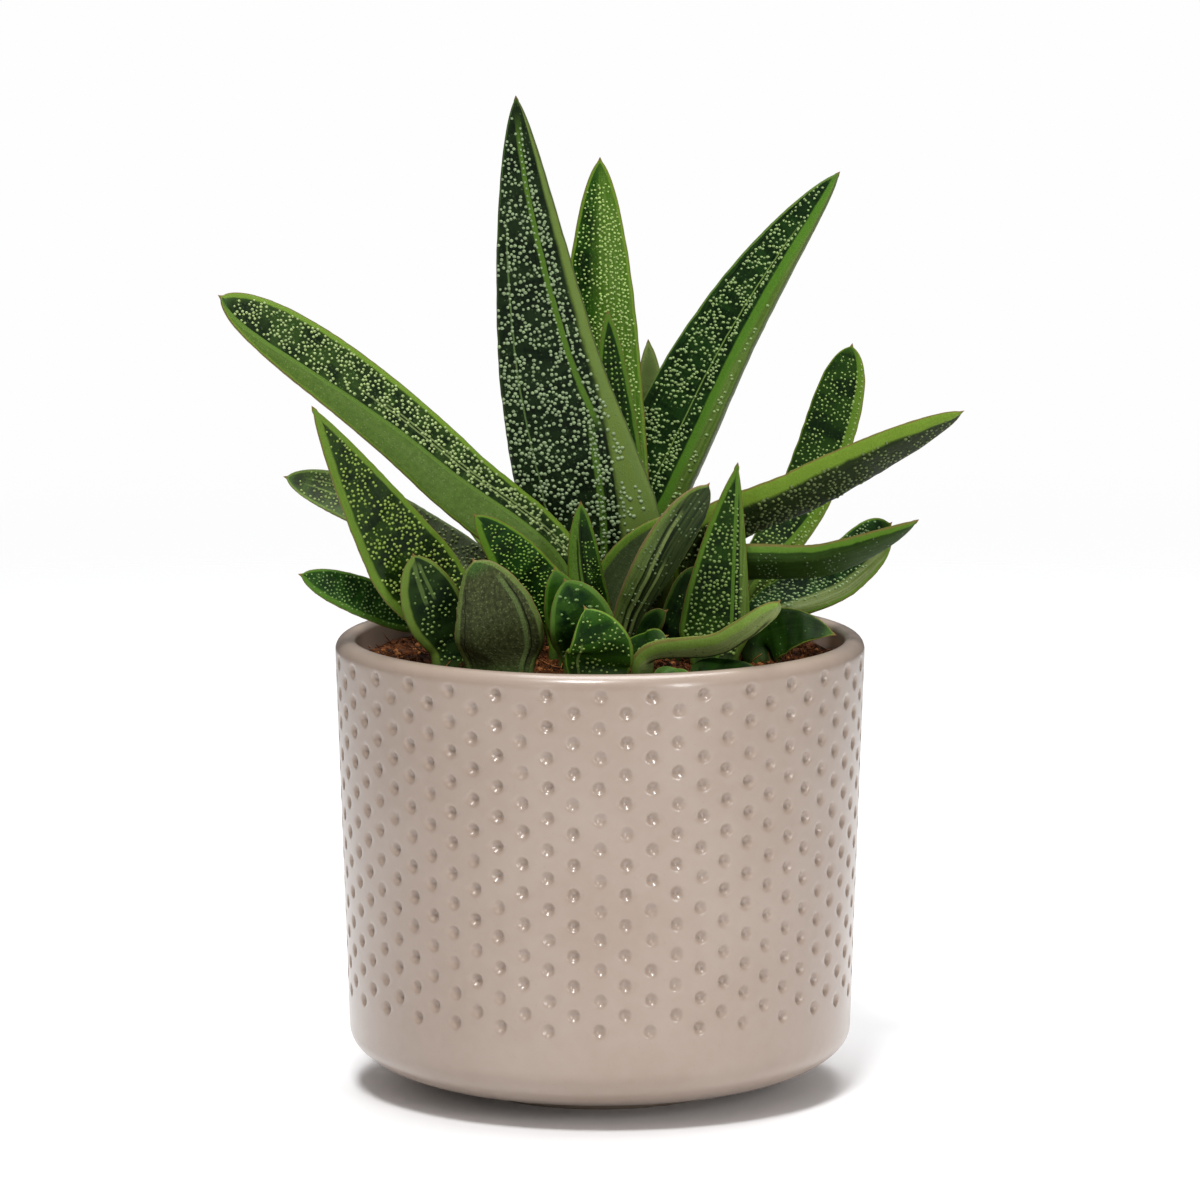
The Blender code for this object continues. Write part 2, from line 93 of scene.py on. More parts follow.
def tidyNormals(mesh):
    body = bmesh.new()
    body.from_mesh(mesh)
    bmesh.ops.recalc_face_normals(body, faces=body.faces)
    body.to_mesh(mesh)
    body.free()
    mesh.shade_smooth()


def circle(count):
    turns = [2 * math.pi * i / count for i in range(count)]
    return [(math.cos(turn), math.sin(turn)) for turn in turns]


def bridgeRings(count, rings, pairs, apex):
    # quads from each ring of vertices to the next, and a fan from the last ring to the apex
    faces = [(r * count + i, r * count + j, (r + 1) * count + j, (r + 1) * count + i)
             for r in range(rings - 1) for i, j in pairs]
    last = (rings - 1) * count
    return faces + [(last + i, last + j, apex) for i, j in pairs]


def finishPiece(item, node):
    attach(item, "root")
    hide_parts(node)


# Helpers for colours and node trees

def tone(colour):
    # a colour as a screen shows it, 0 to 255, in the linear values that shaders use
    def linear(value):
        value = value / 255
        return value / 12.92 if value <= 0.04045 else ((value + 0.055) / 1.055) ** 2.4
    return tuple(linear(value) for value in colour) + (1.0,)


class Wire:
    # a node's output; sums of wires and numbers make the Math nodes for them
    def __init__(self, tree, socket):
        self.tree = tree
        self.socket = socket

    def __add__(self, other):
        return calc("ADD", self, other)

    def __radd__(self, other):
        return calc("ADD", other, self)

    def __sub__(self, other):
        return calc("SUBTRACT", self, other)

    def __rsub__(self, other):
        return calc("SUBTRACT", other, self)

    def __mul__(self, other):
        return calc("MULTIPLY", self, other)

    def __truediv__(self, other):
        return calc("DIVIDE", self, other)

    def __rtruediv__(self, other):
        return calc("DIVIDE", other, self)

    def __gt__(self, other):
        return calc("GREATER_THAN", self, other)

    def __lt__(self, other):
        return calc("LESS_THAN", self, other)

    def __abs__(self):
        return calc("ABSOLUTE", self)


def feed(socket, value):
    # a wire is linked, three screen values become a linear colour, and the rest is set as it is
    if isinstance(value, Wire):
        value.tree.links.new(value.socket, socket)
    elif socket.type == "RGBA" and len(value) == 3:
        socket.default_value = tone(value)
    else:
        socket.default_value = value


def addNode(tree, kind, values=None, **settings):
    node = tree.nodes.new(kind)
    for name, value in settings.items():
        setattr(node, name, value)
    for key, value in (values or {}).items():
        feed(node.inputs[key], value)
    return node


def fromNode(tree, kind, values=None, pick=0, **settings):
    return Wire(tree, addNode(tree, kind, values, **settings).outputs[pick])


def calc(operation, *values):
    tree = next(value.tree for value in values if isinstance(value, Wire))
    return fromNode(tree, "ShaderNodeMath", dict(enumerate(values)), operation=operation)


def vectorCalc(operation, first, *others):
    return fromNode(first.tree, "ShaderNodeVectorMath", dict(enumerate((first,) + others)),
                    "Value" if operation == "LENGTH" else "Vector", operation=operation)


def blend(share, start, end):
    # start where the share is 0, end where it is 1
    return calc("MULTIPLY_ADD", share, end - start, start)


def rise(value, low, high):
    # 0 below low, 1 above high, smooth between; falls instead where low is above high
    return fromNode(value.tree, "ShaderNodeMapRange", {"Value": value, "From Min": low, "From Max": high},
                    "Result", interpolation_type="SMOOTHSTEP")


def separate(vector):
    node = addNode(vector.tree, "ShaderNodeSeparateXYZ", {0: vector})
    return [Wire(vector.tree, socket) for socket in node.outputs]


def combine(x, y, z):
    return fromNode(x.tree, "ShaderNodeCombineXYZ", {0: x, 1: y, 2: z})


def layered(colour, *layers):
    # each layer is a share and the colour that it lays over those before it
    for share, upper in layers:
        colour = fromNode(share.tree, "ShaderNodeMix", {0: share, 6: colour, 7: upper}, 2, data_type="RGBA")
    return colour


def grain(vector, scale, detail=3.0, roughness=0.55, distortion=0.0):
    return fromNode(vector.tree, "ShaderNodeTexNoise", {
        "Vector": vector, "Scale": scale, "Detail": detail, "Roughness": roughness, "Distortion": distortion})


def newGroup(kind, name, inputs, outputs):
    # inputs: name to default, or to the socket's type where it has no default; outputs: name to type
    tree = bpy.data.node_groups.new(name, kind)
    for label, default in inputs.items():
        plain = isinstance(default, str)
        socketType = default if plain else {int: "Int", float: "Float"}[type(default)]
        socket = tree.interface.new_socket(name=label, in_out="INPUT", socket_type="NodeSocket" + socketType)
        if not plain:
            socket.default_value = default
    for label, socketType in outputs.items():
        tree.interface.new_socket(name=label, in_out="OUTPUT", socket_type="NodeSocket" + socketType)
    start = tree.nodes.new("NodeGroupInput")
    end = tree.nodes.new("NodeGroupOutput")
    return tree, {socket.name: Wire(tree, socket) for socket in start.outputs}, end.inputs


def useGroup(tree, group, values, pick=None):
    node = tree.nodes.new("ShaderNodeGroup")
    node.node_tree = group
    for label, value in values.items():
        feed(node.inputs[label], value)
    wires = {socket.name: Wire(tree, socket) for socket in node.outputs}
    return wires[pick] if pick else wires


def newMaterial(name):
    material = bpy.data.materials.new(name)
    material.use_nodes = True
    tree = material.node_tree
    return material, tree, tree.nodes["Principled BSDF"].inputs


def objectPlace(tree):
    return fromNode(tree, "ShaderNodeTexCoord", pick="Object")


def finishWith(shader, colour, roughness, height, strength, distance):
    feed(shader["Base Color"], colour)
    feed(shader["Roughness"], roughness)
    feed(shader["Normal"], fromNode(height.tree, "ShaderNodeBump", {
        "Height": height, "Strength": strength, "Distance": distance}))


def namedField(tree, name, dataType="FLOAT_VECTOR"):
    return fromNode(tree, "GeometryNodeInputNamedAttribute", {"Name": name}, "Attribute", data_type=dataType)


def randomField(tree, low, high, seed):
    # the node's sockets are 0 and 1 for vectors, 2 and 3 for numbers
    if isinstance(low, tuple):
        return fromNode(tree, "FunctionNodeRandomValue", {0: low, 1: high, "Seed": seed}, 0,
                        data_type="FLOAT_VECTOR")
    return fromNode(tree, "FunctionNodeRandomValue", {2: low, 3: high, "Seed": seed}, 1, data_type="FLOAT")


def joinAll(shapes):
    node = addNode(shapes[0].tree, "GeometryNodeJoinGeometry")
    for shape in shapes:
        feed(node.inputs[0], shape)
    return Wire(shapes[0].tree, node.outputs[0])


def coated(shape, material):
    return fromNode(shape.tree, "GeometryNodeSetMaterial", {"Geometry": shape, "Material": material})


def growWith(item, tree, values):
    # run a Geometry Nodes tree on the object and keep its result as a plain mesh
    modifier = item.modifiers.new(tree.name, "NODES")
    modifier.node_group = tree
    labels = {socket.name: socket.identifier for socket in tree.interface.items_tree
              if socket.in_out == "INPUT"}
    for name, value in values.items():
        modifier[labels[name]] = value
    graph = bpy.context.evaluated_depsgraph_get()
    mesh = bpy.data.meshes.new_from_object(item.evaluated_get(graph))
    item.modifiers.remove(modifier)
    item.data = mesh


# Effects that several materials share

def makeMottleGroup():
    # clouds, from 0 to 1
    tree, given, out = newGroup("ShaderNodeTree", "mottle", dict(Vector="Vector", Size=0.02, Contrast=0.3),
                                dict(Value="Float"))
    cloud = grain(given["Vector"], 1.0 / given["Size"], detail=4.0, roughness=0.6)
    feed(out["Value"], rise(cloud, 0.5 - given["Contrast"], 0.5 + given["Contrast"]))
    return tree


def makeSpeckleGroup():
    # small round dots scattered over a surface: Share is how many of the cells hold one
    tree, given, out = newGroup("ShaderNodeTree", "speckle", dict(
        Vector="Vector", Pitch=0.001, Radius=0.25, Share=0.5), dict(Mask="Float"))
    cells = addNode(tree, "ShaderNodeTexVoronoi", {
        "Vector": given["Vector"], "Scale": 1.0 / given["Pitch"], "Randomness": 0.85}).outputs
    dot = rise(Wire(tree, cells["Distance"]), given["Radius"], given["Radius"] * 0.5)
    chance = fromNode(tree, "ShaderNodeSeparateColor", {"Color": Wire(tree, cells["Color"])})
    feed(out["Mask"], dot * (chance < given["Share"]))
    return tree


mottle = makeMottleGroup()
speckle = makeSpeckleGroup()


# Camera, floor and light

view = dict(distance=1867, pitch=8.49, aimHeight=130.1, lens=211.8, sensor=36, clipEnd=50000)


def setCamera():
    camera = bpy.data.cameras.new("camera")
    camera.lens = view["lens"]
    camera.sensor_width = view["sensor"]
    camera.clip_end = view["clipEnd"] * mm
    item = newObject("camera", camera)
    pitch = math.radians(view["pitch"])
    reach = view["distance"] * mm
    item.location = (0, -reach * math.cos(pitch), view["aimHeight"] * mm + reach * math.sin(pitch))
    item.rotation_euler = (math.pi / 2 - pitch, 0, 0)
    scene.camera = item


# each lamp: where it stands and what it looks at, in metres, its sides, and its power in watts
lamps = {
    "keySoftbox": dict(place=(-0.2, -0.95, 1.8), aim=(0, 0, 0.14), size=(0.4, 0.4), power=27),
    "rightStrip": dict(place=(1.05, -1.5, 0.5), aim=(0, 0, 0.08), size=(0.25, 0.9), power=11),
    "leftStrip": dict(place=(-0.75, -1.7, 0.45), aim=(0, 0, 0.08), size=(0.25, 0.8), power=1.6),
    "topSoftbox": dict(place=(0.1, 0.35, 1.7), aim=(0, 0, 0.1), size=(1.0, 1.0), power=20),
}
# the room: light from the sides and from above, and the white that the camera sees behind everything
studio = dict(sideLight=0.07, topLight=0.42, horizon=(-0.1, 1.0), backdrop=0.99)
# the floor is paper that fades away with the distance; its sizes are in metres
paper = dict(colour=(250, 250, 251), darker=0.985, grainScale=40.0, roughness=0.9, bump=0.05,
             bumpHeight=0.0002, half=3.0, fade=(0.35, 1.3))


def setLamps():
    for name, lamp in lamps.items():
        light = bpy.data.lights.new(name, "AREA")
        light.shape = "RECTANGLE"
        light.size, light.size_y = lamp["size"]
        light.energy = lamp["power"]
        item = newObject(name, light)
        item.location = lamp["place"]
        way = Vector(lamp["aim"]) - Vector(lamp["place"])
        item.rotation_euler = way.to_track_quat("-Z", "Y").to_euler()


def setRoom():
    world = bpy.data.worlds.new("studio")
    world.use_nodes = True
    room = world.node_tree
    lift = separate(fromNode(room, "ShaderNodeTexCoord", pick="Generated"))[2]
    light = calc("MULTIPLY_ADD", rise(lift, *studio["horizon"]), studio["topLight"] - studio["sideLight"],
                 studio["sideLight"])
    seen = fromNode(room, "ShaderNodeLightPath", pick="Is Camera Ray")
    back = room.nodes["Background"].inputs
    back["Color"].default_value = (1, 1, 1, 1)
    feed(back["Strength"], fromNode(room, "ShaderNodeMix", {0: seen, 2: light, 3: studio["backdrop"]}))
    scene.world = world
    scene.view_settings.view_transform = "Standard"


def setFloor():
    half = paper["half"]
    mesh = newMesh("floor", [(-half, -half, 0), (half, -half, 0), (half, half, 0), (-half, half, 0)],
                   [(0, 1, 2, 3)])
    floor = newObject("floor", mesh)
    material, tree, shader = newMaterial("floorPaper")
    place = objectPlace(tree)
    pulp = grain(place, paper["grainScale"])
    darker = tuple(value * paper["darker"] for value in tone(paper["colour"]))
    finishWith(shader, layered(darker, (pulp, paper["colour"])), paper["roughness"], pulp, paper["bump"],
               paper["bumpHeight"])
    near, far = paper["fade"]
    feed(shader["Alpha"], rise(vectorCalc("LENGTH", place), far, near))
    mesh.materials.append(material)


setCamera()
setLamps()
setRoom()
setFloor()
print("camera, lamps and floor set")


# Pot: dimple cells tiled by Geometry Nodes, rolled round the wall and joined to the turned body

potLow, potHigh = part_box("pot")
pot = dict(
    height=potHigh.z / mm, rimRadius=potHigh.x / mm, baseRadius=66.7, wall=5.4, floor=7.0,
    lipOuter=3.4, lipInner=1.8, cornerAcross=31.0, cornerUp=13.6, cornerTurn=-88, footRadius=34.6,
    footHeight=3.0, innerRound=12.0, columns=64, rows=23, topRow=115.4, bottomRow=27.8,
    cornerSteps=16, innerSteps=5, lipInnerSteps=6, lipOuterSteps=9,
    edgeSteps=4,                   # parts of each side of a dimple's diamond cell
    topLine=118.3,                 # where the dimple field meets the lip
    dimpleRings=((1.98, 0.0), (1.7, 0.12), (1.26, 0.54), (0.7, 0.88)),     # radius and share of depth
    outerRing=0.42,                # a flat ring at this share of the way out to the cell's edge
    dimpleDepth=1.1, depthSpread=0.22, wander=0.3, weld=0.02, seed=11)
# sizes, pitches and heights here are in metres; a share is how much of its colour an effect shows
glaze = dict(
    base=(157, 140, 127), warm=(150, 131, 117), pale=(168, 153, 141), fleck=(128, 111, 97),
    foot=(140, 124, 110), cloudSize=0.035, cloudContrast=0.28, fineSize=0.035 / 9, fineContrast=0.35,
    fineShare=0.22, fleckPitch=0.0011, fleckRadius=0.2, fleckCells=0.16, fleckShare=0.3,
    roughness=0.3, cloudRoughness=0.07, footRoughness=0.4, coat=0.45, coatRoughness=0.16,
    peelScale=420.0, peelBump=0.06, peelHeight=0.0003,
    footFade=(0.5, -1.0))          # in millimetres from the foot's height


def wallRadius(z):
    low = pot["footHeight"] + pot["cornerUp"]
    high = pot["height"] - pot["lipOuter"]
    if z > high:
        up = min(pot["lipOuter"], z - high)
        return pot["rimRadius"] - pot["lipOuter"] + math.sqrt(pot["lipOuter"] ** 2 - up * up)
    return pot["baseRadius"] + (pot["rimRadius"] - pot["baseRadius"]) * (z - low) / (high - low)


def arc(centreR, centreZ, across, up, start, end, steps):
    turns = [math.radians(start + (end - start) * i / steps) for i in range(steps + 1)]
    return [(centreR + across * math.cos(turn), centreZ + up * math.sin(turn)) for turn in turns]


def dimplePitches():
    columnPitch = 2 * math.pi * pot["rimRadius"] / pot["columns"]
    rowPitch = (pot["topRow"] - pot["bottomRow"]) / (pot["rows"] - 1)
    return columnPitch, rowPitch


def cellMesh(name, half):
    # a diamond cell with its dimple, or the flat lower half that closes the field's straight edge
    columnPitch, rowPitch = dimplePitches()
    steps = pot["edgeSteps"]
    corners = [(columnPitch, 0), (0, rowPitch), (-columnPitch, 0), (0, -rowPitch)]
    edge = []
    for (x1, y1), (x2, y2) in zip(corners, corners[1:] + corners[:1]):
        edge += [(x1 + (x2 - x1) * i / steps, y1 + (y2 - y1) * i / steps) for i in range(steps)]
    if half:
        edge = edge[2 * steps:] + edge[:1]
        rings = [[(x * i / steps, y * i / steps, 0) for x, y in edge] for i in range(steps, 0, -1)]
        middle = (0, 0, 0)
    else:
        unit = circle(len(edge))
        outer = pot["dimpleRings"][0][0]
        share = pot["outerRing"]
        rings = [[(x, y, 0) for x, y in edge],
                 [(outer * c + (x - outer * c) * share, outer * s + (y - outer * s) * share, 0)
                  for (x, y), (c, s) in zip(edge, unit)]]
        for radius, depth in pot["dimpleRings"]:
            rings.append([(radius * c, radius * s, -depth * pot["dimpleDepth"]) for c, s in unit])
        middle = (0, 0, -pot["dimpleDepth"])
    vertices = [point for ring in rings for point in ring] + [middle]
    count = len(edge)
    pairs = [(i, i + 1) for i in range(count - 1)] + ([] if half else [(count - 1, 0)])
    mesh = newMesh(name, vertices, bridgeRings(count, len(rings), pairs, len(vertices) - 1))
    # how much each vertex follows its dimple's wander
    addLayer(mesh, "pull", [float(z < 0 or (not half and i >= 2 * count))
                            for i, (x, y, z) in enumerate(vertices)], vectors=False)
    mesh.shade_smooth()
    return mesh


def dimpleFieldTree():
    tree, given, out = newGroup("GeometryNodeTree", "dimpleField", {
        "Geometry": "Geometry", "Cell": "Object", "Half cell": "Object", "Columns": 64, "Rows": 25,
        "Column pitch": 6.8, "Row pitch": 4.0, "Wander": 0.2, "Depth spread": 0.2, "Weld": 0.02, "Seed": 1,
        "Material": "Material"}, dict(Geometry="Geometry"))
    wide = (given["Columns"] - 1.0) * given["Column pitch"]
    high = (given["Rows"] - 1.0) * given["Row pitch"]
    grid = fromNode(tree, "GeometryNodeMeshGrid", {
        "Size X": wide, "Size Y": high, "Vertices X": given["Columns"], "Vertices Y": given["Rows"]})
    points = fromNode(tree, "GeometryNodeMeshToPoints", {"Mesh": grid})
    corner = combine(wide * 0.5, high * 0.5, 0.0)
    points = fromNode(tree, "GeometryNodeSetPosition", {"Geometry": points, "Offset": corner})
    x, y, z = separate(fromNode(tree, "GeometryNodeInputPosition"))
    column = calc("ROUND", x / given["Column pitch"])
    row = calc("ROUND", y / given["Row pitch"])
    staggered = calc("MODULO", column + row, 2.0) > 0.5
    lowest = row < 0.5
    highest = row > given["Rows"] - 1.5
    fields = []
    for chosen, shape, turn in ((1.0 - (lowest + highest), "Cell", 0.0), (highest, "Half cell", 0.0),
                                (lowest, "Half cell", math.pi)):
        copies = fromNode(tree, "GeometryNodeInstanceOnPoints", {
            "Points": points, "Selection": staggered * chosen, "Rotation": (0, 0, turn),
            "Instance": fromNode(tree, "GeometryNodeObjectInfo", {"Object": given[shape]}, "Geometry")})
        fields.append(fromNode(tree, "GeometryNodeStoreNamedAttribute", {
            "Geometry": copies, "Name": "dice",
            "Value": randomField(tree, (-1, -1, -1), (1, 1, 1), given["Seed"])},
            data_type="FLOAT_VECTOR", domain="INSTANCE"))
    real = fromNode(tree, "GeometryNodeRealizeInstances", {"Geometry": joinAll(fields)})
    aside, along, deeper = separate(namedField(tree, "dice"))
    sway = namedField(tree, "pull", "FLOAT") * given["Wander"]
    offset = combine(aside * sway, along * sway, z * (deeper * given["Depth spread"]))
    moved = fromNode(tree, "GeometryNodeSetPosition", {"Geometry": real, "Offset": offset})
    whole = fromNode(tree, "GeometryNodeMergeByDistance", {"Geometry": moved, "Distance": given["Weld"]})
    feed(out["Geometry"], coated(whole, given["Material"]))
    return tree


def makeGlaze():
    material, tree, shader = newMaterial("potGlaze")
    place = objectPlace(tree)
    clouds = useGroup(tree, mottle, {
        "Vector": place, "Size": glaze["cloudSize"], "Contrast": glaze["cloudContrast"]}, "Value")
    finer = useGroup(tree, mottle, {
        "Vector": place, "Size": glaze["fineSize"], "Contrast": glaze["fineContrast"]}, "Value")
    flecks = useGroup(tree, speckle, {
        "Vector": place, "Pitch": glaze["fleckPitch"], "Radius": glaze["fleckRadius"],
        "Share": glaze["fleckCells"]}, "Mask")
    bare = rise(separate(place)[2], *[(pot["footHeight"] + step) * mm for step in glaze["footFade"]])
    colour = layered(glaze["base"], (clouds, glaze["warm"]), (finer * glaze["fineShare"], glaze["pale"]),
                     (flecks * glaze["fleckShare"], glaze["fleck"]), (bare, glaze["foot"]))
    rough = clouds * glaze["cloudRoughness"] + glaze["roughness"] + bare * glaze["footRoughness"]
    finishWith(shader, colour, rough, grain(place, glaze["peelScale"], detail=2.0), glaze["peelBump"],
               glaze["peelHeight"])
    shader["Coat Weight"].default_value = glaze["coat"]
    shader["Coat Roughness"].default_value = glaze["coatRoughness"]
    return material


def turnedParts(profiles, sides):
    # rings round +Z for each profile of (radius, height); a point on the axis is one vertex
    vertices, faces = [], []
    for profile in profiles:
        before = None
        for radius, z in profile:
            start = len(vertices)
            if radius < 0.001:
                vertices.append((0, 0, z))
                ring = [start] * sides
            else:
                vertices += [(radius * c, radius * s, z) for c, s in circle(sides)]
                ring = list(range(start, start + sides))
            if before:
                for i in range(sides):
                    j = (i + 1) % sides
                    faces.append(tuple(dict.fromkeys((before[i], ring[i], ring[j], before[j]))))
            before = ring
    return vertices, faces


def makeDimpleField(material):
    # the flat field of cells, rolled round the wall, its top squeezed to meet the lip
    columnPitch, rowPitch = dimplePitches()
    shapes = [newObject("dimpleCell", cellMesh("dimpleCell", False)),
              newObject("edgeCell", cellMesh("edgeCell", True))]
    field = newObject("pot_dimpled", bpy.data.meshes.new("pot"))
    growWith(field, dimpleFieldTree(), {
        "Cell": shapes[0], "Half cell": shapes[1], "Columns": pot["columns"], "Rows": pot["rows"] + 2,
        "Column pitch": columnPitch, "Row pitch": rowPitch, "Wander": pot["wander"], "Weld": pot["weld"],
        "Depth spread": pot["depthSpread"], "Seed": pot["seed"], "Material": material})
    removeObjects(shapes)
    shoulder = pot["topRow"] + pot["dimpleRings"][0][0] + pot["wander"]
    squeeze = (pot["topLine"] - shoulder) / (pot["topRow"] + rowPitch - shoulder)
    for vertex in field.data.vertices:
        x, y, z = vertex.co
        height = pot["bottomRow"] - rowPitch + y
        if height > shoulder:
            height = shoulder + (height - shoulder) * squeeze
        turn = 2 * math.pi * x / (columnPitch * pot["columns"])
        radius = wallRadius(height) + z
        vertex.co = (radius * math.cos(turn), radius * math.sin(turn), height)
    return field


def potProfiles():
    # from the dimple field down to the foot's middle, and from the floor inside up over the lip
    height, rim, base, foot = pot["height"], pot["rimRadius"], pot["baseRadius"], pot["footRadius"]
    low = pot["footHeight"] + pot["cornerUp"]
    bottomLine = pot["bottomRow"] - dimplePitches()[1]
    below = [(wallRadius(z), z) for z in (bottomLine, (bottomLine + low) / 2)]
    below += arc(base - pot["cornerAcross"], low, pot["cornerAcross"], pot["cornerUp"], 0,
                 pot["cornerTurn"], pot["cornerSteps"])
    below += [(foot + 0.3, pot["footHeight"] - 0.6), (foot, 0.5), (foot - 0.6, 0.0), (foot / 2, 0.0),
              (0.0, 0.0)]
    inner, bend = base - pot["wall"], pot["innerRound"]
    inside = [(0.0, pot["floor"]), (inner / 2, pot["floor"])]
    inside += arc(inner - bend, pot["floor"] + bend, bend, bend, -90, 0, pot["innerSteps"])
    lip = pot["lipInner"]
    inside += arc(rim - pot["wall"] + lip, height - lip, lip, lip, 180, 90, pot["lipInnerSteps"])
    lip = pot["lipOuter"]
    reach = math.degrees(math.asin((pot["topLine"] - height + lip) / lip))
    inside += arc(rim - lip, height - lip, lip, lip, 90, reach, pot["lipOuterSteps"])
    return [below, inside]


def makePot():
    material = makeGlaze()
    field = makeDimpleField(material)
    vertices, faces = turnedParts(potProfiles(), pot["columns"] * pot["edgeSteps"])
    body = bmesh.new()
    body.from_mesh(field.data)
    made = [body.verts.new(point) for point in vertices]
    for face in faces:
        body.faces.new([made[i] for i in face])
    bmesh.ops.remove_doubles(body, verts=body.verts, dist=pot["weld"])
    bmesh.ops.recalc_face_normals(body, faces=body.faces)
    bmesh.ops.scale(body, vec=(mm, mm, mm), verts=body.verts)
    for face in body.faces:
        face.smooth = True
        face.material_index = 0
    openEdges = sum(1 for edge in body.edges if len(edge.link_faces) != 2)
    body.to_mesh(field.data)
    body.free()
    field.data.materials.clear()
    field.data.materials.append(material)
    finishPiece(field, "pot")
    print("pot:", len(field.data.polygons), "faces,", openEdges, "open edges")


makePot()


# Soil: a lumpy bed with coconut fibres and crumbs strewn over it by Geometry Nodes

soil = dict(
    gap=0.3, drop=6.6, heap=2.6, lump=1.1, lumpSize=11.0, lumpSlice=0.4, sides=120, rings=34, cornerSteps=4,
    fineLump=0.9, fineSize=3.2, fineSlice=2.7, fineEdge=2,     # the fine lumps fade out over fineEdge
    fractal=(0.8, 2.0, 3),                                     # their loss, step in size and octaves
    fibreKinds=9, fibreSteps=7, fibreLength=(2.5, 7.5), fibreRadius=(0.07, 0.17), fibreCurl=1.0,
    fibreLift=(0.4, 0.6), fibreTurn=0.5, fibreThinning=0.85, fibreBend=0.35, fibreScale=(0.5, 1.25),
    crumbKinds=4, crumbJitter=(0.7, 1.25), crumbSize=(0.5, 2.0), fibres=3000, crumbs=2500, rimGap=2.5,
    tilt=0.6, seed=5)
# patchSize and bumpHeight are in metres; midTint and lightTint: the tints over which a strand turns so
# dark: the coir's own dark brown, made near-black as painted shade for the gaps between strands and crumbs
coir = dict(
    dark=(17, 8, 3), mid=(106, 60, 28), light=(172, 112, 64), red=(96, 50, 22), roughness=0.82,
    specular=0.1, patchSize=0.006, patchContrast=0.22, fineScale=900.0, fineShare=0.6,
    midTint=(0.15, 0.85), lightTint=(0.6, 1.0), bump=0.5, bumpHeight=0.0006)


def soilHeight(x, y):
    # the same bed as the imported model's, in metres
    share = min(1.0, math.hypot(x, y) / ((pot["rimRadius"] - pot["wall"]) * mm))
    size = soil["lumpSize"] * mm
    lump = noise.noise(Vector((x / size, y / size, soil["lumpSlice"])))
    return (pot["height"] - soil["drop"] + soil["heap"] * (1 - share * share) + soil["lump"] * lump) * mm


def makeCoir(name, loose):
    material, tree, shader = newMaterial(name)
    place = objectPlace(tree)
    patch = useGroup(tree, mottle, {
        "Vector": place, "Size": coir["patchSize"], "Contrast": coir["patchContrast"]}, "Value")
    fine = grain(place, coir["fineScale"], detail=4.0, roughness=0.7)
    # the patches lay the coir's own tones over the dark tone, which is partly painted shade
    colour = layered(coir["dark"], (patch, coir["red"] if loose else coir["mid"]))
    if loose:
        tint = fromNode(tree, "ShaderNodeAttribute", pick="Fac", attribute_name="tint")
        colour = layered(colour, (rise(tint, *coir["midTint"]), coir["mid"]),
                         (rise(tint, *coir["lightTint"]), coir["light"]))
    # the fine grain lays the dark tone, partly painted shade of the gaps, over every coir surface
    colour = layered(colour, (fine * coir["fineShare"], coir["dark"]))
    finishWith(shader, colour, coir["roughness"], fine, coir["bump"], coir["bumpHeight"])
    shader["Specular IOR Level"].default_value = coir["specular"]
    return material


def fibreMesh(name, dice):
    # a curly three-sided strand that wanders in all directions and thins out at its ends
    count = soil["fibreSteps"]
    length = dice.uniform(*soil["fibreLength"]) * mm
    thick = dice.uniform(*soil["fibreRadius"]) * mm
    first, later = soil["fibreLift"]
    way = Vector((1, 0, 0))
    bend = Vector((0, dice.uniform(-1, 1), dice.uniform(-first, first))) * soil["fibreCurl"]
    point = Vector((-length / 2, 0, 0))
    vertices, faces = [], []
    for i in range(count):
        side = way.cross(Vector((0, 0, 1))).normalized()
        up = side.cross(way)
        radius = thick * (1 - abs(2 * i / (count - 1) - 1) ** 3 * soil["fibreThinning"])
        vertices += [point + (side * c + up * s) * radius for c, s in circle(3)]
        if i:
            faces += [(3 * i - 3 + k, 3 * i - 3 + (k + 1) % 3, 3 * i + (k + 1) % 3, 3 * i + k)
                      for k in range(3)]
        turn = Vector((0, dice.uniform(-1, 1), dice.uniform(-later, later)))
        bend += turn * soil["fibreCurl"] * soil["fibreTurn"]
        way = (way + bend * soil["fibreBend"]).normalized()
        point = point + way * length / (count - 1)
    last = 3 * (count - 1)
    mesh = newMesh(name, vertices, faces + [(2, 1, 0), (last, last + 1, last + 2)])
    tidyNormals(mesh)
    return mesh


def crumbMesh(name, dice):
    body = bmesh.new()
    bmesh.ops.create_icosphere(body, subdivisions=1, radius=0.5)
    for vertex in body.verts:
        vertex.co *= dice.uniform(*soil["crumbJitter"])
    mesh = bpy.data.meshes.new(name)
    body.to_mesh(mesh)
    body.free()
    return mesh


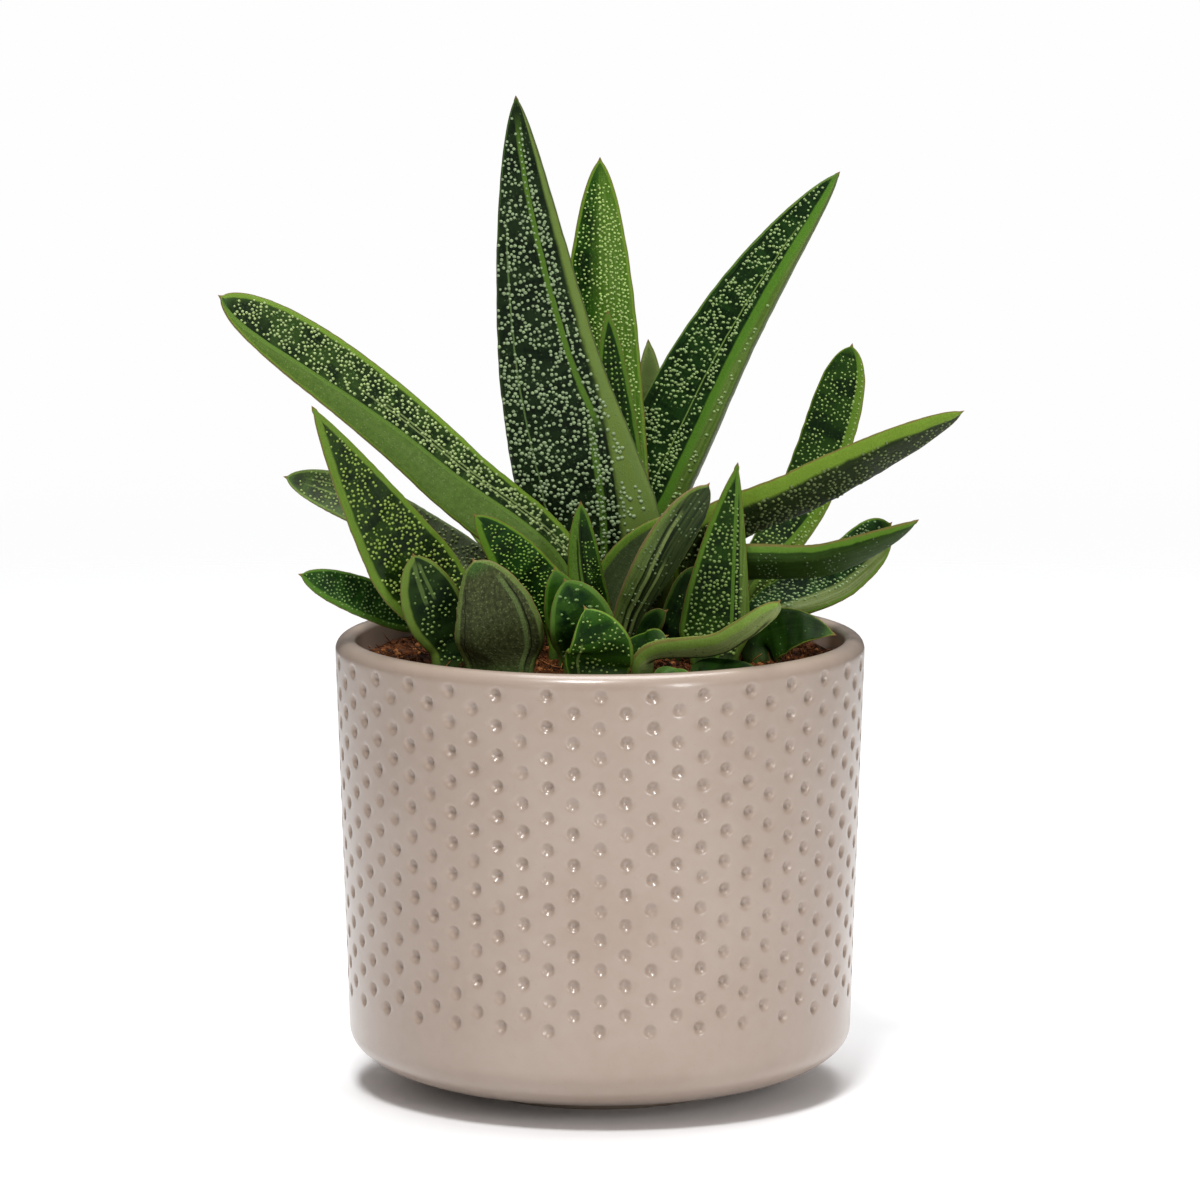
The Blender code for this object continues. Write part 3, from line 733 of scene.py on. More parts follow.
def strewTree():
    tree, given, out = newGroup("GeometryNodeTree", "strewnSoil", {
        "Geometry": "Geometry", "Fibres": "Collection", "Crumbs": "Collection", "Fibre count": 1000.0,
        "Crumb count": 1000.0, "Area": 0.01, "Reach": 0.06, "Fibre small": 0.5, "Fibre large": 1.25,
        "Crumb small": 0.0004, "Crumb large": 0.0012, "Seed": 1, "Fibre material": "Material",
        "Crumb material": "Material"}, dict(Geometry="Geometry"))
    lift = separate(fromNode(tree, "GeometryNodeInputNormal"))[2]
    flat = vectorCalc("MULTIPLY", fromNode(tree, "GeometryNodeInputPosition"), (1, 1, 0))
    top = (lift > 0.4) * (vectorCalc("LENGTH", flat) < given["Reach"])
    tilt = soil["tilt"]
    layers = [given["Geometry"]]
    # each kind draws from seeds of its own
    for kind, step in (("Fibre", 0.0), ("Crumb", 10.0)):
        seed = given["Seed"] + step
        points = fromNode(tree, "GeometryNodeDistributePointsOnFaces", {
            "Mesh": given["Geometry"], "Selection": top, "Density": given[kind + " count"] / given["Area"],
            "Seed": seed}, "Points")
        shapes = fromNode(tree, "GeometryNodeCollectionInfo", {
            "Collection": given[kind + "s"], "Separate Children": True, "Reset Children": True})
        copies = fromNode(tree, "GeometryNodeInstanceOnPoints", {
            "Points": points, "Instance": shapes, "Pick Instance": True,
            "Rotation": randomField(tree, (-tilt, -tilt, 0.0), (tilt, tilt, 2 * math.pi), seed + 1.0),
            "Scale": randomField(tree, given[kind + " small"], given[kind + " large"], seed + 2.0)})
        stored = fromNode(tree, "GeometryNodeStoreNamedAttribute", {
            "Geometry": copies, "Name": "tint", "Value": randomField(tree, 0.0, 1.0, seed + 3.0)},
            data_type="FLOAT", domain="INSTANCE")
        real = fromNode(tree, "GeometryNodeRealizeInstances", {"Geometry": stored})
        layers.append(coated(real, given[kind + " material"]))
    feed(out["Geometry"], joinAll(layers))
    return tree


def strewnCollection(name, maker, count, dice):
    group = bpy.data.collections.new(name)
    scene.collection.children.link(group)
    for i in range(count):
        shape = bpy.data.objects.new(f"{name}{i}", maker(f"{name}{i}", dice))
        group.objects.link(shape)
    return group


def soilBed():
    # the bed's mesh, and the radius of its edge in millimetres
    top, floor, gap, bend = pot["height"] - soil["drop"], pot["floor"], soil["gap"], pot["innerRound"]
    innerLow = pot["baseRadius"] - pot["wall"] - gap
    innerTop = pot["rimRadius"] - pot["wall"] - gap
    edge = innerLow + (innerTop - innerLow) * (top - floor) / (pot["height"] - floor)
    profile = [(edge * i / soil["rings"], top) for i in range(soil["rings"] + 1)]
    profile += arc(innerLow - bend, floor + bend + gap, bend, bend, 0, -90, soil["cornerSteps"])
    profile.append((0.0, floor + gap))
    vertices, faces = turnedParts([profile], soil["sides"])
    size = soil["fineSize"] * mm
    placed = []
    for x, y, z in vertices:
        x, y, z = x * mm, y * mm, z * mm
        if z > (top - 0.1) * mm:
            fine = noise.fractal(Vector((x / size, y / size, soil["fineSlice"])), *soil["fractal"])
            inward = min(1.0, (edge * mm - math.hypot(x, y)) / (soil["fineEdge"] * mm))
            z = soilHeight(x, y) + soil["fineLump"] * mm * fine * inward
        placed.append((x, y, z))
    mesh = newMesh("soil", placed, faces)
    tidyNormals(mesh)
    return mesh, edge


def makeSoil():
    dice = random.Random(soil["seed"])
    mesh, edge = soilBed()
    item = newObject("soil_bed", mesh)
    mesh.materials.append(makeCoir("soilBed", False))
    groups = [strewnCollection("fibre", fibreMesh, soil["fibreKinds"], dice),
              strewnCollection("crumb", crumbMesh, soil["crumbKinds"], dice)]
    growWith(item, strewTree(), {
        "Fibres": groups[0], "Crumbs": groups[1], "Fibre count": float(soil["fibres"]),
        "Crumb count": float(soil["crumbs"]), "Area": math.pi * (edge * mm) ** 2,
        "Reach": (edge - soil["rimGap"]) * mm, "Fibre small": soil["fibreScale"][0],
        "Fibre large": soil["fibreScale"][1], "Crumb small": soil["crumbSize"][0] * mm,
        "Crumb large": soil["crumbSize"][1] * mm, "Seed": soil["seed"],
        "Fibre material": makeCoir("coirFibre", True), "Crumb material": makeCoir("coirCrumb", True)})
    for group in groups:
        removeObjects(list(group.objects))
        bpy.data.collections.remove(group)
    # a strand that would pass the wall bends along it
    for vertex in item.data.vertices:
        away = math.hypot(vertex.co.x, vertex.co.y)
        if away > edge * mm:
            vertex.co.x *= edge * mm / away
            vertex.co.y *= edge * mm / away
    finishPiece(item, "soil")
    print("soil:", len(item.data.polygons), "faces")


makeSoil()


# Leaves. Each shape, in millimetres and degrees:
# foot: where it stands in the soil.  middle, tip: points on its centreline.  rise: its straight start.
# width: at its widest, at the share "widest".  taper, round: outline towards the tip.
# back, front: height of the keel behind and of the face.  keel, crest: where they run, at foot and tip.
# face: where the dark face looks (turn to the right, lift).  twist: foot to tip.  neck: width, thickness.
plainShape = dict(round=0.6, keel=(0, 0), crest=(0, 0), twist=0)     # where a leaf names no other

leafShapes = {
    "leaf_centre_tall": dict(
        foot=(0, 6), middle=(-14, 4, 196), tip=(-22, -4, 264), rise=12, width=42, widest=0.1, taper=1.0,
        round=0.66, back=8, front=3.2, keel=(0.75, 0.6), crest=(0.4, 0.85), face=(-14, 6), neck=(18, 8)),
    "leaf_centre_behind": dict(
        foot=(3, 26), middle=(0.5, 26, 186), tip=(0, 18, 246), rise=12, width=22.5, widest=0.3, taper=2.2,
        round=0.62, back=5, front=1.0, keel=(0.2, 0.2), crest=(0.1, 0.1), face=(0, 4), neck=(15, 7)),
    "leaf_centre_inner": dict(
        foot=(8, 16), middle=(5, 16, 164), tip=(2, 11, 206), rise=8, width=15, widest=0.25, taper=1.6,
        back=4, front=0.6, keel=(0.2, 0.2), crest=(0.1, 0.1), face=(6, 4), neck=(10, 5)),
    "leaf_right_tall": dict(
        foot=(5, 34), middle=(22.5, 33, 178), tip=(64, 31, 241), rise=12, width=24, widest=0.3, taper=1.7,
        round=0.66, back=6.5, front=2.6, keel=(0.85, 0.85), crest=(0.62, 0.7), face=(-22, 10), twist=-6,
        neck=(15, 7)),
    "leaf_back_upright": dict(
        foot=(8, 46), middle=(13, 48, 162), tip=(13, 50, 194), rise=8, width=14, widest=0.3, taper=1.8,
        back=4, front=0.6, keel=(0.1, 0.1), face=(10, 6), neck=(11, 5)),
    "leaf_left_long": dict(
        foot=(-7, -4), middle=(-40, -4, 165.3), tip=(-100, -8, 212), rise=10, width=19.2, widest=0.25,
        taper=7, back=5, front=3.2, keel=(-0.3, -0.9), crest=(0.45, -0.8), face=(0, 38), neck=(12, 8)),
    "leaf_front_left_pointed": dict(
        foot=(-10, -17), middle=(-20, -22, 141), tip=(-33, -28, 157), rise=6, width=15, widest=0.4,
        taper=1.8, round=0.62, back=4, front=1.0, keel=(-0.4, -0.4), crest=(-0.6, -0.6), face=(-4, 20),
        neck=(7, 4)),
    "leaf_front_small_upright": dict(
        foot=(-1, -13), middle=(-4, -16, 141), tip=(-5, -18, 159), rise=6, width=10, widest=0.35, taper=2,
        back=3, front=1.0, crest=(-0.1, -0.1), face=(10, 8), neck=(6, 3.5)),
    "leaf_centre_grey": dict(
        foot=(3, -5), middle=(10, -6, 140.5), tip=(26, -7, 154), rise=6, width=18, widest=0.4, taper=2.2,
        back=3.5, front=0.8, face=(170, 40), neck=(6, 4)),
    "leaf_left_upright": dict(
        foot=(-36, -20), middle=(-51.3, -27, 146), tip=(-74.6, -34, 186), rise=4, width=23.2, widest=0.35,
        taper=1.15, round=0.8, back=6, front=0.8, keel=(-0.7, -0.7), face=(10, 22), neck=(13, 6)),
    "leaf_front_left_narrow": dict(
        foot=(-38.5, -27.5), middle=(-43, -32, 132), tip=(-48.5, -37, 148), rise=4, width=16, widest=0.45,
        taper=2.2, back=4, front=0.6, face=(4, 10), neck=(11, 5)),
    "leaf_front_left_broad": dict(
        foot=(-26, -36), middle=(-26.5, -40, 131), tip=(-33, -43, 147.5), rise=4, width=23.5, widest=0.3,
        taper=1.6, round=0.48, back=5, front=0.6, keel=(0.5, 0.5), face=(176, 30), neck=(18, 5)),
    "leaf_left_far": dict(
        foot=(-23, -4), middle=(-50, 3, 148.5), tip=(-84, 8, 162), rise=8, width=14.5, widest=0.5, taper=4,
        back=4, front=0.6, face=(0, 40), neck=(9, 5)),
    "leaf_left_low": dict(
        foot=(-36, -9), middle=(-55, -15, 130.3), tip=(-79, -20, 140), rise=5, width=11, widest=0.5,
        taper=3, back=4, front=0.6, face=(0, 25), neck=(8, 5)),
    "leaf_front_hood_back": dict(
        foot=(-7, -27), middle=(-9, -33, 132), tip=(-12, -34, 144), rise=4, width=13, widest=0.4, taper=2,
        back=3, front=0.5, face=(20, 10), neck=(8, 3.5)),
    "leaf_front_hood_middle": dict(
        foot=(-3.5, -37), middle=(-5, -42, 131), tip=(-9.4, -44, 142.5), rise=4, width=17.5, widest=0.4,
        taper=2.2, back=3.5, front=0.5, face=(4, 12), neck=(12, 4)),
    "leaf_front_short": dict(
        foot=(-0.5, -47), middle=(0, -51, 125), tip=(-4.3, -50, 136.3), rise=3, width=17.8, widest=0.25,
        taper=2.0, round=0.65, back=3.5, front=0.6, crest=(-0.3, -0.3), face=(2, 12), neck=(16, 4)),
    "leaf_front_right_keeled": dict(
        foot=(6, -20), middle=(14, -28.5, 143), tip=(28.5, -34, 166), rise=6, width=12.5, widest=0.6,
        taper=3, back=4, front=0.6, keel=(0.1, 0.2), face=(190, 30), neck=(6, 4)),
    "leaf_right_upright": dict(
        foot=(30, -19), middle=(32, -20, 144.5), tip=(36, -20, 169.5), rise=6, width=19, widest=0.15,
        taper=1.25, round=0.8, back=5, front=1.4, keel=(0.4, 0.4), crest=(0.45, 0.45), face=(8, 6),
        neck=(13, 5)),
    "leaf_right_long": dict(
        foot=(27.5, 0.5), middle=(54, -9, 161), tip=(95, -20, 183), rise=28, width=17, widest=0.32, taper=3,
        back=6, front=0.8, keel=(0.45, 0.5), face=(160, 50), neck=(7, 6)),
    "leaf_right_back": dict(
        foot=(38, 15), middle=(55.5, 20, 157), tip=(67.2, 22, 196), rise=6, width=14.4, widest=0.6, taper=4,
        back=4.5, front=1.2, keel=(0.5, 0.5), crest=(0.7, 0.75), face=(-10, 12), neck=(10, 5.5)),
    "leaf_right_pointed": dict(
        foot=(29, -7), middle=(60, -15.5, 143.5), tip=(83, -28, 155.5), rise=20, width=12.5, widest=0.4,
        taper=2, round=0.7, back=5, front=0.6, keel=(0.55, 0.5), face=(172, 35), neck=(6, 5)),
    "leaf_right_broad": dict(
        foot=(41, 3), middle=(64, 0, 138), tip=(77, -5, 151.7), rise=5, width=17, widest=0.6, taper=4,
        back=5, front=1.8, keel=(-0.5, -0.5), crest=(0.3, 0.5), face=(-10, 45), neck=(10, 5)),
    "leaf_right_curved": dict(
        foot=(11, -37), middle=(33, -44, 127), tip=(46.5, -52, 138), rise=2, width=9, widest=0.5, taper=6,
        back=5, front=0.8, keel=(-0.15, -0.1), face=(180, 60), neck=(6, 5)),
    "leaf_right_low": dict(
        foot=(42, -13), middle=(48, -17, 124.5), tip=(62, -22, 124), rise=4, width=15, widest=0.25,
        taper=1.3, round=0.7, back=3, front=0.5, face=(5, 25), neck=(9, 4)),
    "leaf_front_right_flat": dict(
        foot=(26, -43), middle=(32, -45, 118.5), tip=(42, -48, 118.5), rise=1.5, width=9, widest=0.4,
        taper=2, round=0.7, back=2.5, front=0.5, face=(0, 60), neck=(5, 3.5)),
    "leaf_front_right_tiny": dict(
        foot=(8, -28), middle=(13, -30.5, 123.5), tip=(18, -31, 125.5), rise=3, width=7.5, widest=0.5,
        taper=4, round=0.5, back=3, front=0.5, face=(20, 40), neck=(4.5, 3.5)),
    "leaf_inner_dark": dict(
        foot=(19, -13), middle=(23, -14, 132), tip=(26, -13, 142), rise=4, width=11, widest=0.5, taper=3,
        back=3, front=0.5, face=(-10, 20), neck=(5, 3.5)),
    "leaf_inner_small": dict(
        foot=(11, -12), middle=(13, -14, 125), tip=(18, -16, 130), rise=3, width=7, widest=0.5, taper=2.4,
        back=2.5, front=0.5, face=(-10, 30), neck=(4.5, 3.5)),
    "leaf_front_right_sprout": dict(
        foot=(16, -46), middle=(19, -49, 117.5), tip=(24, -52, 118), rise=1.5, width=6, widest=0.5,
        taper=2.4, back=2, front=0.4, face=(0, 50), neck=(4, 3)),
    "leaf_rear_left": dict(
        foot=(-13, 30), middle=(-24, 44, 140), tip=(-38, 62, 150), rise=3, width=17, widest=0.5, taper=3,
        round=0.65, back=5, front=0.8, face=(0, 50), neck=(14, 6.5)),
    "leaf_rear_centre": dict(
        foot=(-3, 52), middle=(0, 63, 150), tip=(4, 78, 172), rise=5, width=18, widest=0.4, taper=2.4,
        round=0.65, back=6, front=0.8, keel=(0.3, 0.3), face=(4, 40), neck=(15, 7)),
    "leaf_rear_right": dict(
        foot=(24, 42), middle=(29, 54, 137), tip=(37, 66, 146), rise=3, width=15, widest=0.5, taper=3,
        round=0.65, back=5, front=0.8, keel=(-0.3, -0.3), face=(-10, 45), neck=(12, 6)),
    "leaf_rear_low_left": dict(
        foot=(-32, 22), middle=(-43, 36, 127), tip=(-57, 48, 131), rise=2.5, width=12, widest=0.5, taper=4,
        back=4, front=0.6, face=(0, 60), neck=(10, 5.5)),
    "leaf_rear_low_right": dict(
        foot=(44, 24), middle=(51, 34, 124), tip=(59, 46, 129), rise=2, width=11, widest=0.5, taper=3,
        back=4, front=0.6, face=(0, 60), neck=(9, 5)),
}

leafForm = dict(
    neckRise=0.8, holeDepth=7.0, gap=0.3, swell=0.8, thinnerAtTip=0.5, tipBlunt=6, tipRound=0.6,
    ridgeRound=1.1, marginRound=0.5,
    ripples=((11.0, 17.0, 0.28), (3.4, 4.5, 0.07)),     # size across, size along, height
    fullRipple=6,                                       # half width from which they have that height
    marginWave=(5.0, 0.02),                             # length of a wave, share of the half width
    pointLength=1.5, pointHalf=0.7, pointOverlap=0.7,   # the small point that ends each leaf
    marginShare=0.4, leastReach=0.5,                    # limits of the rounding on narrow parts
    waveSlice=3.1, sideSlice=7.3,                       # where in the noise the waves and ripples lie
    tipCrowding=1.5, longLeaf=60.0, stations=(48, 92), steps=(6, 8))     # short leaf, long leaf


def faceDirection(shape, share):
    turn, lift = shape["face"]
    turn = math.radians(turn + shape["twist"] * share)
    lift = math.radians(lift)
    return Vector((math.sin(turn) * math.cos(lift), -math.cos(turn) * math.cos(lift), math.sin(lift)))


def leafPath(shape):
    x, y = shape["foot"]
    start = Vector((x, y, soilHeight(x * mm, y * mm) / mm + leafForm["neckRise"]))
    points = [start, start + Vector((0, 0, shape["rise"])), Vector(shape["middle"]), Vector(shape["tip"])]
    shares = [0.0]
    for near, far in zip(points, points[1:]):
        shares.append(shares[-1] + (far - near).length)
    return points, [share / shares[-1] for share in shares], shares[-1]


def pathAt(points, shares, t):
    # place and direction on a smooth curve through the points
    spans = [far - near for near, far in zip(shares, shares[1:])]
    slopes = [(far - near) / span for near, far, span in zip(points, points[1:], spans)]
    tangents = []
    for i in range(1, len(points) - 1):
        before, after = spans[i - 1], spans[i]
        tangents.append((slopes[i - 1] * after + slopes[i] * before) / (before + after))
    tangents = [2 * slopes[0] - tangents[0]] + tangents + [2 * slopes[-1] - tangents[-1]]
    i = 0
    while i < len(spans) - 1 and t > shares[i + 1]:
        i += 1
    span = spans[i]
    u = (t - shares[i]) / span
    place = (points[i] * (1 + 2 * u) * (1 - u) ** 2 + tangents[i] * span * u * (1 - u) ** 2
             + points[i + 1] * u * u * (3 - 2 * u) + tangents[i + 1] * span * u * u * (u - 1))
    way = ((points[i + 1] - points[i]) * 6 * u * (1 - u) / span + tangents[i] * (1 - u) * (1 - 3 * u)
           + tangents[i + 1] * u * (3 * u - 2))
    return place, way.normalized()


def smoothStep(value):
    value = min(1.0, max(0.0, value))
    return value * value * (3 - 2 * value)


def leafStation(shape, path, t):
    # all that the section at share t needs
    points, shares, length = path
    place, along = pathAt(points, shares, t)
    if t == 0.0:
        along = Vector((0, 0, 1))
    look = faceDirection(shape, t)
    out = (look - along * look.dot(along)).normalized()
    neckWidth, neckThick = shape["neck"]
    opened = smoothStep(t / shape["widest"])
    outline = 1.0
    bodyEnd = 1 - leafForm["pointOverlap"] * leafForm["pointLength"] / length
    if t > shape["widest"]:
        reached = min(1.0, (t - shape["widest"]) / (bodyEnd - shape["widest"]))
        outline = (1 - reached ** shape["taper"]) ** shape["round"]
    waveLength, waveShare = leafForm["marginWave"]
    wave = 1 + waveShare * noise.noise(Vector((t * length / waveLength, place.x, leafForm["waveSlice"])))
    half = (neckWidth + (shape["width"] - neckWidth) * opened) * outline * wave / 2
    point = (1 - t) * length / leafForm["pointLength"]
    half = max(half, leafForm["pointHalf"] * min(1.0, point))
    thin = (1 - leafForm["thinnerAtTip"] * t) * (1 - t ** leafForm["tipBlunt"]) ** leafForm["tipRound"]
    heights = [min(half, (neckThick / 2 + (shape[side] - neckThick / 2) * opened) * thin)
               for side in ("front", "back")]
    ridges = [(shape[ridge][0] + (shape[ridge][1] - shape[ridge][0]) * t) * opened
              for ridge in ("crest", "keel")]
    return dict(place=place, along=along, out=out, across=along.cross(out), half=half, thin=thin,
                heights=heights, ridges=ridges, distance=t * length)


def leafSurface(station, a, side):
    # a point at share a across the leaf, from -1 to 1, on its face (side 0) or its back (side 1)
    half, ridge = station["half"], station["ridges"][side]
    reach = 1 + ridge if a < ridge else 1 - ridge
    away = min(1.0, abs(a - ridge) / max(reach, 0.001))
    blunt = leafForm["ridgeRound"] / max(reach * half, leafForm["leastReach"])
    soft = (math.hypot(away, blunt) - blunt) / (math.hypot(1, blunt) - blunt)
    fat = min(leafForm["marginRound"], half * leafForm["marginShare"]) * station["thin"]
    edge = min(1.0, (1 - abs(a)) * half / max(fat, 0.001))
    height = station["heights"][side] * max(0.0, 1 - soft) ** leafForm["swell"]
    height += fat * math.sqrt(max(0.0, 1 - (1 - edge) ** 2)) * soft
    for sizeAcross, sizeAlong, rippleHeight in leafForm["ripples"]:
        spot = Vector((a * half / sizeAcross + station["place"].y, station["distance"] / sizeAlong,
                       side * leafForm["sideSlice"]))
        height += rippleHeight * noise.noise(spot) * edge * min(1.0, half / leafForm["fullRipple"])
    if side:
        height = -height
    return station["place"] + station["across"] * (a * half) + station["out"] * height


def sectionShares(station, steps):
    # shares across, round the section: along the face to the right margin, and back behind
    row = []
    for side in (0, 1):
        ridge = station["ridges"][side]
        ends = [(-1.0, ridge), (ridge, 1.0)] if side == 0 else [(1.0, ridge), (ridge, -1.0)]
        for start, stop in ends:
            for i in range(steps):
                row.append((start + (stop - start) * (1 - math.cos(math.pi * i / steps)) / 2, side))
    return row


def leafMesh(name, shape, stationCount, steps):
    # its point attributes: place holds the share across, the distance along and the half width; edge
    # holds the distance from the margin, that from the ridge, and the side (0 face, 1 back)
    path = leafPath(shape)
    vertices, places, edges = [], [], []
    shares = [1 - (1 - i / stationCount) ** leafForm["tipCrowding"] for i in range(stationCount)]
    sink = Vector((0, 0, leafForm["neckRise"] + leafForm["holeDepth"] - leafForm["gap"]))
    for number, t in enumerate([0.0] + shares):
        station = leafStation(shape, path, t)
        if number == 0:
            station["place"] = station["place"] - sink
            station["distance"] = -sink.z
        for a, side in sectionShares(station, steps):
            vertices.append(leafSurface(station, a, side) * mm)
            places.append((a, station["distance"], station["half"]))
            edges.append(((1 - abs(a)) * station["half"], (a - station["ridges"][side]) * station["half"],
                          0.5 if abs(a) > 0.999 else float(side)))
    around = 4 * steps
    faces = []
    for ring in range(stationCount):
        low, high = ring * around, (ring + 1) * around
        faces += [(low + i, high + i, high + (i + 1) % around, low + (i + 1) % around)
                  for i in range(around)]
    top = stationCount * around
    tip = len(vertices)
    vertices.append(path[0][-1] * mm)
    places.append((0.0, path[2], 0.0))
    edges.append((0.0, 0.0, 0.5))
    faces += [(top + i, tip, top + (i + 1) % around) for i in range(around)]
    faces.append(tuple(range(around)))
    mesh = newMesh(name, vertices, faces)
    addLayer(mesh, "place", places)
    addLayer(mesh, "edge", edges)
    tidyNormals(mesh)
    return mesh


# Leaf finishes. Colours are screen values, widths are in millimetres. Pairs are for the left and the right
# margin, as seen on the face, or for the foot and the tip.
# glow, belly: where the colour changes across, at the foot and at the tip, its limit, and how soft the
# change is. The glow lies right of it and shows "bright": partly the facet's own green, partly painted light
# on the facet turned to the lamps. The belly lies left of it and shows "bellyTone".
# crackle: how strongly the finest grain darkens the skin.  dotShare: how many cells of the skin hold a dot.
# clumps: how strongly the warts gather in chains.  clearLine: share across at foot, at tip, bare width.
# bare: no warts left of this share across, at the foot and at the tip, and its limit.
# lines: (side 0 face or 1 back, share across at foot, at tip, width, from, to, colour name)
# rows: (side, share across at foot, at tip, from, to, spacing, size) of single warts in a line
# The plain foot tone, dark green over the lowest footLength millimetres, is painted shade at the base of each
# leaf; leaf_left_far and leaf_right_back set a grey-green foot tone for their own lower part instead.
leafLook = dict(
    dark=(8, 22, 6), mid=(32, 58, 14), bright=(74, 109, 24), pale=(112, 136, 68), dot=(82, 112, 52),
    groove=(7, 15, 6), margin=(92, 122, 40), rim=(108, 90, 50), crest=(78, 112, 36), tip=(58, 90, 28),
    foot=(52, 70, 30), mucro=(116, 78, 48), back=(44, 64, 26), backPale=(82, 102, 52),
    bellyTone=(70, 92, 44), wart=(134, 158, 96), marginWidth=(0.9, 0.9), rimWidth=(0.18, 0.18),
    crestWidth=0.0, tipBare=4.0, footLength=4.0, streak=0.4, mottling=0.35, crackle=0.6, roughness=0.34,
    dotShare=0.35, dotPitch=0.85, glow=(2.0, 2.0, 2.0, 0.1), belly=(-2.0, -2.0, -2.0, 0.1), bandAcross=14.0,
    bandAlong=4.5, wartSize=0.85, wartSpacing=1.15, cover=0.55, backCover=0.35, stretch=0.25,
    marginClear=(0.9, 0.9), ridgeClear=0.0, clumps=0.5, clearLine=(0.0, 0.0, 0.0), bare=(-2.0, -2.0, 2.0),
    lines=(), rows=())

